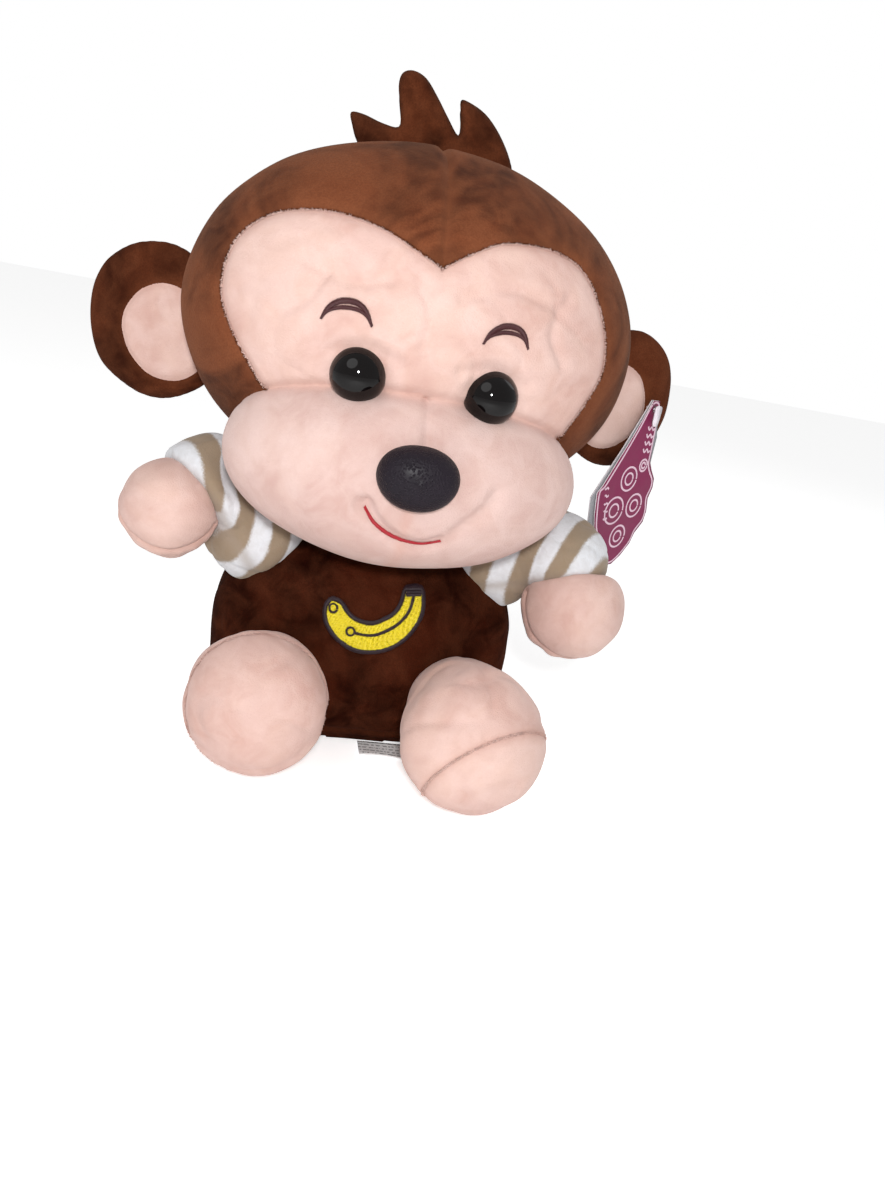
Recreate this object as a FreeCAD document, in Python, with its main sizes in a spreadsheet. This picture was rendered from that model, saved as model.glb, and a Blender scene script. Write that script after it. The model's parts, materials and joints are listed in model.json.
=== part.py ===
import FreeCAD, Part
import math
import os
import re

# A seated plush monkey. Millimetres, +Z up, the face looks along -Y.
# The origin is the middle of the flat seat. Left and right are as seen from the front.

Vector = FreeCAD.Vector
Rotation = FreeCAD.Rotation

doc = FreeCAD.newDocument("StuffedMonkey")
sheet = doc.addObject("Spreadsheet::Sheet", "Sizes")
nodes = []

# ---------------------------------------------------------------- driving dimensions

SIZES = {
    "skin": 1.5,            # velour panel with its pile
    "stitch": 0.7,          # height of an embroidered line above the cloth
    "gap": 0.5,             # clearance around a joint's ball

    "head_high": 158.0,     # centre height of the head
    "head_half_x": 85.2,
    "head_half_y": 63.8,
    "head_half_z": 63.7,
    "muzzle_front": 36.5,   # how far the muzzle's centre is ahead of the head's
    "muzzle_high": 113.8,
    "muzzle_half_x": 64.7,
    "muzzle_half_y": 40.4,
    "muzzle_half_z": 36.5,
    "ear_line": 8.0,        # seam between the crown and the back of the head

    "mask_apart": 29.0,     # the face panel is two lobes that meet in a peak
    "mask_high": 158.0,
    "mask_half_x": 37.0,
    "mask_half_z": 35.0,

    "eye_apart": 22.2,
    "eye_front": 55.5,
    "eye_high": 145.4,
    "eye_ball": 9.3,
    "shank": 2.4,           # radius of the moulded shank of an eye or the nose
    "shank_long": 11.0,
    "washer": 7.5,
    "washer_thick": 1.6,
    "washer_back": 4.0,     # the locking washer's distance behind the eye's flat

    "nose_high": 118.7,
    "nose_front": 75.0,
    "nose_half_x": 13.5,
    "nose_half_y": 10.5,
    "nose_half_z": 10.5,

    "brow_bend": 8.8,
    "brow_left_x": -28.0,
    "brow_left_high": 158.0,
    "brow_right_x": 23.0,
    "brow_right_high": 160.2,
    "mouth_bend": 18.3,
    "mouth_x": 2.4,
    "mouth_high": 113.9,
    "line_half": 0.8,       # half the width of a satin line

    "ear_out": 92.0,
    "ear_back": 16.0,
    "ear_high": 146.0,
    "ear_half": 28.8,
    "ear_thick": 6.5,
    "ear_lining": 19.5,
    "ear_sweep": 20.0,      # degrees the ears lean back
    "ear_clear": 2.8,
    "tuft_layer": 2.2,
    "tuft_clear": 1.5,

    "neck_back": 4.0,
    "neck_high": 86.0,
    "neck_ball": 20.0,

    "shoulder_out": 50.0,
    "shoulder_front": 4.0,
    "shoulder_high": 74.0,
    "shoulder_ball": 19.0,
    "cuff_root": 15.2,
    "cuff": 17.0,
    "sleeve_long": 20.0,
    "wrist_ball": 12.0,
    "hand_reach": 18.0,
    "hand_ball": 18.5,

    "hip_out": 36.0,
    "hip_front": 38.0,
    "hip_high": 25.4,
    "hip_ball": 17.0,
    "leg_root": 15.5,
    "leg": 19.0,
    "foot_ball": 25.0,
    "sole_step": 13.0,      # the sole seam's distance ahead of the foot's centre
    "foot_reach_left": 23.0,
    "foot_reach_right": 36.0,

    "banana_x": -2.0,
    "banana_high": 61.0,
    "banana_outer": 17.3,
    "banana_hollow_x": -5.0,
    "banana_hollow_high": 70.5,
    "banana_hollow": 15.0,
    "banana_edge": 1.2,

    "label_left": 1.0,
    "label_wide": 30.0,
    "label_long": 11.0,
    "label_thick": 0.6,
    "label_front": 35.0,
    "label_low": 0.3,

    "card": 0.5,
    "card_gap": 0.3,
    "card_turn": 33.0,      # degrees the hang tag's cards turn from the face plane
    "tag_along": 14.0,      # the tag's hole, along the ear from the ear's centre
    "tag_ahead": 9.5,       # and ahead of the ear's middle plane
    "tag_drop": 1.5,
    "tag_hole": 1.7,
    "tag_pin": 0.5,
}

# Horizontal sections of the torso: height, half width, front and back edge.
TORSO = {
    "base": (0.0, 50.0, 33.0, 33.0),
    "hem": (6.0, 58.0, 39.5, 39.5),
    "belly": (22.0, 63.0, 43.0, 43.0),
    "waist": (45.0, 63.0, 42.5, 42.5),
    "chest": (60.0, 58.0, 40.0, 40.0),
    "yoke": (68.0, 52.5, 36.0, 37.0),
    "collar": (74.0, 46.0, 29.5, 33.0),
    "top": (80.0, 37.0, 19.0, 27.0),
}

# Outline of the three-spiked tuft in the XZ plane; its foot is trimmed to the crown.
TUFT_OUTLINE = [
    (-26.0, 214.0), (-28.5, 221.0), (-33.0, 229.5), (-22.0, 227.5), (-14.5, 224.5),
    (-19.0, 237.0), (-17.0, 246.0), (-8.0, 242.5), (-1.0, 237.0), (6.5, 228.0),
    (5.0, 241.5), (14.0, 237.5), (23.0, 229.5), (28.0, 221.0), (26.0, 214.0),
]

# Outlines of the two cards of the hang tag: across the card, then below its hole.
FRONT_CARD = [
    (-2.5, 4.0), (2.5, 4.0), (4.0, -8.0), (5.0, -22.0), (12.0, -34.0), (12.5, -50.0),
    (2.0, -66.0), (-7.0, -70.0), (-15.0, -60.0), (-22.0, -53.0), (-27.0, -36.0), (-14.0, -16.0),
]
LOWERED = {"left": (-30,), "right": (0, 12)}  # how the arms hang, in degrees about Y
BACK_CARD = [(-2.5, 4.0), (3.0, 4.0), (8.0, -12.0), (8.0, -46.0), (-26.0, -55.0), (-29.5, -38.0)]


def fillSheet():
    values = dict(SIZES)
    for name, (high, wide, front, back) in TORSO.items():
        values[name + "_high"] = high
        values[name + "_wide"] = wide
        values[name + "_front"] = front
        values[name + "_back"] = back
    for row, (alias, value) in enumerate(values.items(), start=1):
        sheet.set("A%d" % row, alias)
        sheet.set("B%d" % row, str(value))
        sheet.setAlias("B%d" % row, alias)
    doc.recompute()
    return set(values)


ALIASES = fillSheet()


def size(alias):
    return float(sheet.get(alias))


def formula(text):
    def link(match):
        word = match.group()
        return "Sizes." + word if word in ALIASES else word
    return re.sub(r"[a-z_]+", link, str(text))


def bind(part, **sizes):
    for name, text in sizes.items():
        part.setExpression(name, formula(text))


def place(part, x, y, z):
    for axis, text in zip("xyz", (x, y, z)):
        part.setExpression("Placement.Base." + axis, formula(text))


def add(kind, label):
    part = doc.addObject(kind, label)
    part.Label = label
    return part


def node(part, label):
    part.Label = label
    nodes.append(part)
    return part


# ---------------------------------------------------------------- small builders

def ellipsoid(label, centre, halves):
    part = add("Part::Ellipsoid", label)
    bind(part, Radius2=halves[0], Radius3=halves[1], Radius1=halves[2])
    part.Angle1 = -90
    place(part, *centre)
    return part


def ball(label, centre, radius):
    part = add("Part::Sphere", label)
    bind(part, Radius=radius)
    place(part, *centre)
    return part


def limbBall(label, along, radius):
    part = ball(label, (along, 0, 0), radius)
    part.Placement.Rotation = Rotation(Vector(0, 0, 1), Vector(1, 0, 0))
    return part


def rod(label, radius, length, centre, direction):
    part = add("Part::Cylinder", label)
    bind(part, Radius=radius, Height=length)
    part.Placement.Rotation = Rotation(Vector(0, 0, 1), direction)
    place(part, *centre)
    return part


def cone(label, rootRadius, endRadius, length):
    part = add("Part::Cone", label)
    bind(part, Radius1=rootRadius, Radius2=endRadius, Height=length)
    part.Placement.Rotation = Rotation(Vector(0, 0, 1), Vector(1, 0, 0))
    return part


def box(label, low, high):
    part = add("Part::Box", label)
    part.Length, part.Width, part.Height = (b - a for a, b in zip(low, high))
    part.Placement.Base = Vector(*low)
    return part


def cut(base, tool, label):
    part = add("Part::Cut", label)
    part.Base = base
    part.Tool = tool
    return part


def common(base, tool, label):
    part = add("Part::Common", label)
    part.Base = base
    part.Tool = tool
    return part


def fuse(parts, label):
    part = add("Part::MultiFuse", label)
    part.Shapes = parts
    return part


def padded(label, points, thick, plane="XZ_Plane"):
    body = add("PartDesign::Body", label)
    sketch = body.newObject("Sketcher::SketchObject", label + "_outline")
    planes = {feature.Role: feature for feature in body.Origin.OriginFeatures}
    sketch.AttachmentSupport = (planes[plane], [""])
    sketch.MapMode = "FlatFace"
    corners = [Vector(x, z, 0) for x, z in points]
    for start, end in zip(corners, corners[1:] + corners[:1]):
        sketch.addGeometry(Part.LineSegment(start, end), False)
    pad = body.newObject("PartDesign::Pad", label + "_pad")
    pad.Profile = sketch
    bind(pad, Length=thick)
    body.Tip = pad
    return body


# Everything beyond the object on one side of a plane; the splits between panels use these.
FAR = 400.0
DISC_START = 10.0
everywhere = box("everywhere", (-FAR, -FAR, -FAR), (FAR, FAR, FAR))
frontHalf = box("front_half", (-FAR, -FAR, -FAR), (FAR, 0, FAR))
lowHalf = box("low_half", (-FAR, -FAR, -FAR), (FAR, FAR, 0))
leftHalf = box("left_half", (-FAR, -FAR, -FAR), (0, FAR, FAR))
seatLayer = box("seat_layer", (-FAR, -FAR, -FAR), (FAR, FAR, 0))
place(seatLayer, -FAR, -FAR, "skin - %g" % FAR)
faceHalf = box("face_half", (-FAR, -FAR, -FAR), (FAR, 0, FAR))
place(faceHalf, -FAR, "ear_line - %g" % FAR, -FAR)


# ---------------------------------------------------------------- torso

def torsoLoft(label, grow):
    sections = []
    for name in TORSO:
        ring = add("Part::Ellipse", "%s_%s" % (label, name))
        middle = "(%s_back - %s_front) / 2" % (name, name)
        depth = "(%s_back + %s_front) / 2" % (name, name)
        height = name + "_high"
        if grow == "-skin" and name == "base":
            height += " + skin"
        if grow == "-skin" and name == "top":
            height += " - skin"
        bind(ring, MajorRadius="%s_wide %s" % (name, grow), MinorRadius="%s %s" % (depth, grow))
        place(ring, 0, middle, height)
        sections.append(ring)
    loft = add("Part::Loft", label)
    loft.Sections = sections
    loft.Solid = True
    return loft


def sleeveRoom(word, shoulder, angle):
    # what a sleeve sweeps beside the body with its arm turned down by this angle
    name = "sleeve_room_%s_%d" % (word, abs(angle))
    tube = cone(name + "_tube", "cuff_root + 2 * gap", "cuff + 2 * gap", "sleeve_long + 2 * gap")
    lowered = Rotation(Vector(0, 1, 0), angle).multVec(armDirection(word))
    return turned(common(tube, everywhere, name), lowered, *shoulder)


def sockets():
    holes = [ball("neck_socket", (0, "neck_back", "neck_high"), "neck_ball + gap")]
    for side, word in ((-1, "left"), (1, "right")):
        shoulder = ("%d * shoulder_out" % side, "-shoulder_front", "shoulder_high")
        hip = ("%d * hip_out" % side, "-hip_front", "hip_high")
        holes.append(ball("armhole_" + word, shoulder, "shoulder_ball + gap"))
        for angle in LOWERED[word]:
            holes.append(sleeveRoom(word, shoulder, angle))
        holes.append(ball("leghole_" + word, hip, "hip_ball + gap"))
    return fuse(holes, "torso_sockets")


def makeTorso():
    outer = cut(torsoLoft("torso_outer", "+ 0"), sockets(), "torso_form")
    inner = cut(torsoLoft("torso_inner", "-skin"), doc.torso_sockets, "torso_filling_form")
    skin = cut(cut(outer, inner, "torso_shell"), seatLayer, "torso_sides")
    node(common(outer, seatLayer, "seat_panel"), "seat_panel")
    node(common(skin, frontHalf, "torso_front_panel"), "torso_front_panel")
    node(cut(skin, frontHalf, "torso_back_panel"), "torso_back_panel")
    node(inner, "torso_stuffing")


def disc(label, x, z, radius):
    return rod(label, radius, FAR, (x, -DISC_START, z), Vector(0, -1, 0))


def makeBanana():
    raised = cut(torsoLoft("torso_raised", "+ stitch"), doc.torso_outer, "banana_layer")
    shapes = []
    for name, edge in (("fill", "- banana_edge"), ("edge", "+ 0")):
        outside = disc("banana_outside_" + name, "banana_x", "banana_high", "banana_outer " + edge)
        hollow = disc("banana_hollow_" + name, "banana_hollow_x", "banana_hollow_high",
                      "banana_hollow - banana_edge - (0 %s)" % edge)
        crescent = cut(outside, hollow, "banana_crescent_" + name)
        shapes.append(common(raised, crescent, "banana_" + name))
    node(shapes[0], "banana_fill")
    node(cut(shapes[1], doc.banana_crescent_fill, "banana_outline"), "banana_outline")


def makeCareLabel():
    label = add("Part::Box", "care_label")
    bind(label, Length="label_wide", Width="label_long", Height="label_thick")
    place(label, "label_left", "-label_front - label_long", "label_low")
    node(label, "care_label")


# ---------------------------------------------------------------- head

def headForm(label, grow):
    halves = ["head_half_%s %s" % (axis, grow) for axis in "xyz"]
    return ellipsoid(label, (0, 0, "head_high"), halves)


def muzzleForm(label, grow):
    halves = ["muzzle_half_%s %s" % (axis, grow) for axis in "xyz"]
    return ellipsoid(label, (0, "-muzzle_front", "muzzle_high"), halves)


def maskForm():
    lobes = []
    for side, word in ((-1, "left"), (1, "right")):
        ring = add("Part::Ellipse", "mask_ring_" + word)
        bind(ring, MajorRadius="mask_half_x", MinorRadius="mask_half_z")
        ring.Placement.Rotation = Rotation(Vector(1, 0, 0), 90)
        place(ring, "%d * mask_apart" % side, 0, "mask_high")
        lobe = add("Part::Extrusion", "mask_lobe_" + word)
        lobe.Base = ring
        lobe.DirMode = "Custom"
        lobe.Dir = Vector(0, -1, 0)
        lobe.LengthFwd = FAR
        lobe.Solid = True
        lobes.append(lobe)
    return fuse(lobes, "mask_form")


def makeEye(side, word):
    centre = ("%d * eye_apart" % side, "-eye_front", "eye_high")
    dome = common(ball("eye_ball_" + word, centre, "eye_ball"),
                  box("eye_front_" + word, (-FAR, -FAR, 0), (FAR, -size("eye_front"), FAR)),
                  "eye_dome_" + word)
    stem = rod("eye_stem_" + word, "shank", "shank_long", centre, Vector(0, 1, 0))
    eye = fuse([dome, stem], "eye_" + word)
    behind = (centre[0], "washer_back - eye_front", centre[2])
    plate = rod("eye_plate_" + word, "washer", "washer_thick", behind, Vector(0, 1, 0))
    node(eye, "eye_" + word)
    node(cut(plate, stem, "eye_washer_" + word), "eye_washer_" + word)
    return [eye, plate]


def makeNose():
    centre = (0, "-nose_front", "nose_high")
    whole = ellipsoid("nose_whole", centre, ("nose_half_x", "nose_half_y", "nose_half_z"))
    ahead = box("nose_ahead", (-FAR, -FAR, 0), (FAR, -size("nose_front"), FAR))
    stem = rod("nose_stem", "shank", "shank_long", centre, Vector(0, 1, 0))
    nose = fuse([common(whole, ahead, "nose_dome"), stem], "nose")
    behind = (0, "washer_back - nose_front", "nose_high")
    plate = rod("nose_plate", "washer", "washer_thick", behind, Vector(0, 1, 0))
    node(nose, "nose")
    node(cut(plate, stem, "nose_washer"), "nose_washer")
    return [nose, plate]


def arcLine(label, layer, x, z, bend, startAngle, sweep):
    outside = disc(label + "_outside", x, z, bend + " + line_half")
    outside.Angle = sweep
    outside.Placement.Rotation = (Rotation(Vector(0, -1, 0), startAngle)
                                  * Rotation(Vector(1, 0, 0), 90))
    inside = disc(label + "_inside", x, z, bend + " - line_half")
    ring = cut(outside, inside, label + "_ring")
    node(common(layer, ring, label), label)


def makeFaceLines():
    headLayer = cut(headForm("head_raised", "+ stitch"), doc.head_outer, "brow_layer")
    muzzleLayer = cut(muzzleForm("muzzle_raised", "+ stitch"), doc.muzzle_outer, "mouth_layer")
    for word in ("left", "right"):
        arcLine("brow_" + word, headLayer, "brow_%s_x" % word, "brow_%s_high" % word,
                "brow_bend", 20, 145)
    arcLine("mouth_stitch", muzzleLayer, "mouth_x", "mouth_high", "mouth_bend", 204, 96)


def makeHead():
    headOuter = headForm("head_outer", "+ 0")
    headInner = headForm("head_inner", "- skin")
    muzzleOuter = muzzleForm("muzzle_outer", "+ 0")
    muzzleInner = muzzleForm("muzzle_inner", "- skin")
    mask = maskForm()
    hardware = makeEye(-1, "left") + makeEye(1, "right") + makeNose()
    room = fuse(hardware, "face_hardware")
    neckRoom = ball("head_socket", (0, "neck_back", "neck_high"), "neck_ball + gap")

    hidden = fuse([headInner, muzzleOuter, neckRoom], "head_hidden")
    skin = cut(cut(headOuter, hidden, "head_shell"), room, "head_skin")
    front = common(skin, faceHalf, "head_skin_front")
    back = cut(skin, faceHalf, "head_skin_back")
    crown = cut(front, mask, "crown")
    node(common(front, mask, "face_panel"), "face_panel")
    for name, panel in (("crown", crown), ("head_back", back)):
        node(common(panel, leftHalf, name + "_left"), name + "_left")
        node(cut(panel, leftHalf, name + "_right"), name + "_right")

    behind = fuse([muzzleInner, headOuter, room, neckRoom], "muzzle_hidden")
    node(cut(muzzleOuter, behind, "muzzle_panel"), "muzzle_panel")
    filling = fuse([headInner, muzzleInner], "head_filling")
    kept = fuse([room, neckRoom], "head_filling_room")
    node(cut(filling, kept, "head_stuffing"), "head_stuffing")
    makeFaceLines()


def makeNeck():
    node(ball("neck_stuffing", (0, "neck_back", "neck_high"), "neck_ball"), "neck_stuffing")


def earDirection(side):
    lean = math.radians(size("ear_sweep"))
    return Vector(side * math.cos(lean), math.sin(lean), 0)


def makeEar(side, word, clear):
    centre = ("%d * ear_out" % side, "ear_back", "ear_high")
    lean = earDirection(side)
    ahead = Vector(abs(lean.y) * side, -abs(lean.x), 0)
    facing = Rotation(Vector(0, 0, 1), ahead)
    form = ellipsoid("ear_form_" + word, centre, ("ear_half", "ear_half", "ear_thick"))
    core = ellipsoid("ear_core_" + word, centre,
                     ("ear_half - skin", "ear_half - skin", "ear_thick - 2 * skin"))
    form.Placement.Rotation = facing
    core.Placement.Rotation = facing
    ear = cut(form, clear, "ear_" + word)
    face = rod("ear_face_" + word, "ear_lining", "3 * ear_thick", centre, ahead)
    opening = cut(face, core, "ear_opening_" + word)
    node(common(ear, opening, "ear_lining_" + word), "ear_lining_" + word)
    node(cut(ear, opening, "ear_shell_" + word), "ear_shell_" + word)


def makeTuft():
    clear = headForm("tuft_clearance", "+ tuft_clear")
    for word, shift in (("front", "ear_line"), ("back", "ear_line + tuft_layer")):
        layer = padded("tuft_%s_form" % word, TUFT_OUTLINE, "tuft_layer")
        place(layer, 0, shift, 0)
        node(cut(layer, clear, "tuft_" + word), "tuft_" + word)


# ---------------------------------------------------------------- arms and legs

def armDirection(word):
    # the left arm is held up a little, the right one hangs a little
    yaw, lift = {"left": (31.5, 15.4), "right": (35.0, -16.0)}[word]
    side = -1 if word == "left" else 1
    yaw, lift = math.radians(yaw), math.radians(lift)
    flat = math.cos(lift)
    return Vector(side * flat * math.cos(yaw), -flat * math.sin(yaw), math.sin(lift))


def turned(part, direction, x, y, z):
    part.Placement.Rotation = Rotation(Vector(1, 0, 0), direction)
    place(part, x, y, z)
    return part


def limb(label, shrink, rootBall, rootRadius, endRadius, length):
    root = limbBall(label + "_root", 0, "%s %s" % (rootBall, shrink))
    tube = cone(label + "_tube", "%s %s" % (rootRadius, shrink),
                "%s %s" % (endRadius, shrink), length)
    return root, tube


def makeArm(side, word):
    shoulder = ("%d * shoulder_out" % side, "-shoulder_front", "shoulder_high")
    recess = limbBall("wrist_recess_" + word, "sleeve_long", "wrist_ball + gap")
    forms = {}
    for layer, shrink in (("outer", "+ 0"), ("inner", "- skin")):
        name = "sleeve_%s_%s" % (layer, word)
        pieces = limb(name, shrink, "shoulder_ball", "cuff_root", "cuff", "sleeve_long")
        forms[layer] = cut(fuse(pieces, name + "_whole"), recess, name)
    sleeve = cut(forms["outer"], forms["inner"], "sleeve_" + word)
    node(turned(sleeve, armDirection(word), *shoulder), "sleeve_" + word)
    stuffing = common(forms["inner"], everywhere, "arm_stuffing_" + word)
    node(turned(stuffing, armDirection(word), *shoulder), "arm_stuffing_" + word)


def makeHand(side, word):
    shoulder = ("%d * shoulder_out" % side, "-shoulder_front", "shoulder_high")
    forms = {}
    for layer, shrink in (("outer", "+ 0"), ("inner", "- skin")):
        name = "hand_%s_%s" % (layer, word)
        root = limbBall(name + "_root", "sleeve_long", "wrist_ball " + shrink)
        palm = limbBall(name + "_palm", "sleeve_long + hand_reach", "hand_ball " + shrink)
        forms[layer] = fuse([root, palm], name)
    skin = cut(forms["outer"], forms["inner"], "hand_shell_" + word)
    pieces = {
        "hand_palm_": common(skin, lowHalf, "hand_palm_" + word),
        "hand_back_": cut(skin, lowHalf, "hand_back_" + word),
        "hand_stuffing_": common(forms["inner"], everywhere, "hand_stuffing_" + word),
    }
    for name, part in pieces.items():
        node(turned(part, armDirection(word), *shoulder), name + word)


def legDirection(word):
    splay = {"left": -12.5, "right": 2.0}[word]
    return Vector(math.sin(math.radians(splay)), -math.cos(math.radians(splay)), 0)


def makeFoot(side, word):
    hip = ("%d * hip_out" % side, "-hip_front", "hip_high")
    reach = "foot_reach_" + word
    forms = {}
    for layer, shrink in (("outer", "+ 0"), ("inner", "- skin")):
        name = "foot_%s_%s" % (layer, word)
        root, tube = limb(name, shrink, "hip_ball", "leg_root", "leg", reach + " * 0.62")
        toe = limbBall(name + "_toe", reach, "foot_ball " + shrink)
        forms[layer] = fuse([root, tube, toe], name)
    skin = cut(forms["outer"], forms["inner"], "foot_shell_" + word)
    ahead = box("sole_side_" + word, (0, -FAR, -FAR), (FAR, FAR, FAR))
    place(ahead, reach + " + sole_step", -FAR, -FAR)
    pieces = {
        "foot_sole_": common(skin, ahead, "foot_sole_" + word),
        "foot_upper_": cut(skin, ahead, "foot_upper_" + word),
        "foot_stuffing_": common(forms["inner"], everywhere, "foot_stuffing_" + word),
    }
    for name, part in pieces.items():
        node(turned(part, legDirection(word), *hip), name + word)


# ---------------------------------------------------------------- hang tag

def tagHole():
    along = earDirection(1)
    ahead = Vector(along.y, -along.x, 0)
    centre = Vector(size("ear_out"), size("ear_back"), size("ear_high") - size("tag_drop"))
    return centre + along * size("tag_along") + ahead * size("tag_ahead")


def makeTag():
    turn = Rotation(Vector(0, 0, 1), size("card_turn"))
    ahead = turn.multVec(Vector(0, -1, 0))
    hole = tagHole()
    bore = rod("tag_bore", "tag_hole", 20, (0, 10, 0), Vector(0, -1, 0))
    step = size("card") + size("card_gap")
    for word, points, back in (("front", FRONT_CARD, 0.0), ("back", BACK_CARD, step)):
        form = padded("tag_%s_form" % word, points, "card")
        card = node(cut(form, bore, "tag_%s_card" % word), "tag_%s_card" % word)
        card.Placement = FreeCAD.Placement(hole - ahead * back, turn)

    ear = earDirection(1)
    inward = Vector(-ear.y, ear.x, 0)
    start = hole - inward * 2.5
    pin = rod("fastener_pin", "tag_pin", "tag_ahead - ear_thick + 3.6", tuple(start), inward)
    paddle = box("fastener_paddle", (-2.0, -0.5, -7.0), (2.0, 0.5, 2.0))
    paddle.Placement = FreeCAD.Placement(start + turn.multVec(Vector(-2.0, -0.5, -7.0)), turn)
    loose = fuse([pin, paddle], "fastener_whole")
    node(cut(loose, doc.ear_right, "tag_fastener"), "tag_fastener")


# ---------------------------------------------------------------- build, check and write

def makeAll():
    makeTorso()
    makeBanana()
    makeCareLabel()
    makeNeck()
    makeHead()
    clear = headForm("ear_clearance", "+ ear_clear")
    for side, word in ((-1, "left"), (1, "right")):
        makeEar(side, word, clear)
        makeArm(side, word)
        makeHand(side, word)
        makeFoot(side, word)
    makeTuft()
    makeTag()
    doc.recompute()


def problems():
    found = []
    for part in doc.Objects:
        if "Invalid" in part.State or "Error" in part.State:
            found.append("%s failed: %s" % (part.Label, part.State))
    for part in nodes:
        shape = part.Shape
        if shape.isNull() or not shape.isValid():
            found.append(part.Label + " has no valid shape")
        elif len(shape.Solids) != 1:
            found.append("%s has %d solids" % (part.Label, len(shape.Solids)))
    return found


def writeParts():
    os.makedirs("parts", exist_ok=True)
    for part in nodes:
        part.Shape.exportStep("parts/%s.step" % part.Label)
        print("%-22s %9.1f mm3" % (part.Label, part.Shape.Volume))
    print(len(nodes), "nodes")


makeAll()
faults = problems()
for fault in faults:
    print(fault)
if faults:
    raise SystemExit("the model has faults")
writeParts()
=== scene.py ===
import json
import math

import bmesh
import bpy
import numpy as np
from mathutils import Matrix, Vector, geometry, noise
from mathutils.bvhtree import BVHTree


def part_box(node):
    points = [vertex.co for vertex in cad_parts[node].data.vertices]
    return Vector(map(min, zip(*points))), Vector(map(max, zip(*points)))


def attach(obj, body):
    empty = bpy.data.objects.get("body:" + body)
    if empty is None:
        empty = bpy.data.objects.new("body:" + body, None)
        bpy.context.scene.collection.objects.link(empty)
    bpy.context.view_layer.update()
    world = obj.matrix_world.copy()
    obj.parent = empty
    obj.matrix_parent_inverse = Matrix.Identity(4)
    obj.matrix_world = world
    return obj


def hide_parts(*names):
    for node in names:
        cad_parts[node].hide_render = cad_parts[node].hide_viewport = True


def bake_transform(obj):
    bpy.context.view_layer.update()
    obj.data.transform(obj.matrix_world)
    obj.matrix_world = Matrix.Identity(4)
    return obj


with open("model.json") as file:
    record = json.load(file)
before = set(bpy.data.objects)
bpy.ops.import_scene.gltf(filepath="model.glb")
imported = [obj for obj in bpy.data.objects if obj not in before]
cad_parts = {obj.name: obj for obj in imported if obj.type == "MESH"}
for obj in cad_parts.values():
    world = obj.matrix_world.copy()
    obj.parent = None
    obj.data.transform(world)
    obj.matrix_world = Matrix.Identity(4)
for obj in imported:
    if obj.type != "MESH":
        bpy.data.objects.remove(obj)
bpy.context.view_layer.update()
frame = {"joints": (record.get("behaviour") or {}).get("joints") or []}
print("frame loaded")

# Lengths below are in millimetres and become metres when a mesh is made.
mm = 0.001
joints = {j["name"]: j for j in frame["joints"]}
sides = {"left": -1, "right": 1}


def pivot(name):
    return np.array(joints[name]["pos_m"]) / mm


def boxOf(node):
    low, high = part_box(node)
    return np.array(low) / mm, np.array(high) / mm


# Small mesh helpers

def sphereDirections(cells):
    # unit directions on a cube turned into a sphere, and the quads between them
    steps = np.tan(np.linspace(-1, 1, cells + 1) * math.pi / 4)
    u, v = np.meshgrid(steps, steps, indexing="ij")
    w = np.ones_like(u)
    points, quads, start = [], [], 0
    for axes, sign in (((0, 1, 2), 1), ((1, 2, 0), 1), ((2, 0, 1), 1),
                       ((1, 0, 2), -1), ((2, 1, 0), -1), ((0, 2, 1), -1)):
        side = np.zeros((u.size, 3))
        side[:, axes[0]] = u.ravel()
        side[:, axes[1]] = v.ravel()
        side[:, axes[2]] = sign * w.ravel()
        points.append(side)
        index = start + np.arange(u.size).reshape(u.shape)
        quads.append(np.stack([index[:-1, :-1], index[1:, :-1], index[1:, 1:], index[:-1, 1:]], -1)
                     .reshape(-1, 4))
        start += u.size
    points = np.concatenate(points)
    points /= np.linalg.norm(points, axis=1)[:, None]
    _, first, same = np.unique(points.round(6), axis=0, return_index=True, return_inverse=True)
    return points[first], same.ravel()[np.concatenate(quads)]


def ellipsoidReach(directions, origin, centre, halves):
    # how far each ray from the origin runs before it leaves the ellipsoid
    o = (np.array(origin) - centre) / halves
    d = directions / halves
    a, b, c = (d * d).sum(1), d @ o, o @ o - 1
    inside = b * b - a * c
    return np.where(inside > 0, (-b + np.sqrt(np.maximum(inside, 0))) / a, 0)


def ellipsoidGap(points, centre, halves):
    # 1 on the ellipsoid, less inside
    return np.sqrt((((points - centre) / halves) ** 2).sum(axis=1))


def polylineDistance(points, line):
    # distance from points in a plane to an open polyline
    line = np.array(line, float)
    best = np.full(len(points), 1e9)
    for a, b in zip(line[:-1], line[1:]):
        t = np.clip(((points - a) @ (b - a)) / ((b - a) @ (b - a)), 0, 1)
        best = np.minimum(best, np.linalg.norm(points - (a + t[:, None] * (b - a)), axis=1))
    return best


def smoothLine(points, steps=8, closed=False):
    # Catmull-Rom curve through a few points
    p = [np.array(q, float) for q in points]
    p = [p[-1]] + p + [p[0], p[1]] if closed else [2 * p[0] - p[1]] + p + [2 * p[-1] - p[-2]]
    line = []
    for a, b, c, d in zip(p, p[1:], p[2:], p[3:]):
        for t in np.arange(steps) / steps:
            line.append(0.5 * (2 * b + (c - a) * t + (2 * a - 5 * b + 4 * c - d) * t ** 2
                               + (3 * b - a - 3 * c + d) * t ** 3))
    line.append(p[-2])
    return np.array(line)


def circle(middle, radius, count):
    turn = np.linspace(0, 2 * math.pi, count)
    return np.column_stack([middle[0] + radius * np.cos(turn), middle[1] + radius * np.sin(turn)])


def insideOutline(points, outline):
    inside = np.zeros(len(points), bool)
    for (ax, ay), (bx, by) in zip(outline, np.roll(outline, -1, axis=0)):
        if ay == by:
            continue
        across = (points[:, 1] > ay) != (points[:, 1] > by)
        inside ^= across & (points[:, 0] < (bx - ax) * (points[:, 1] - ay) / (by - ay) + ax)
    return inside


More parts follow.
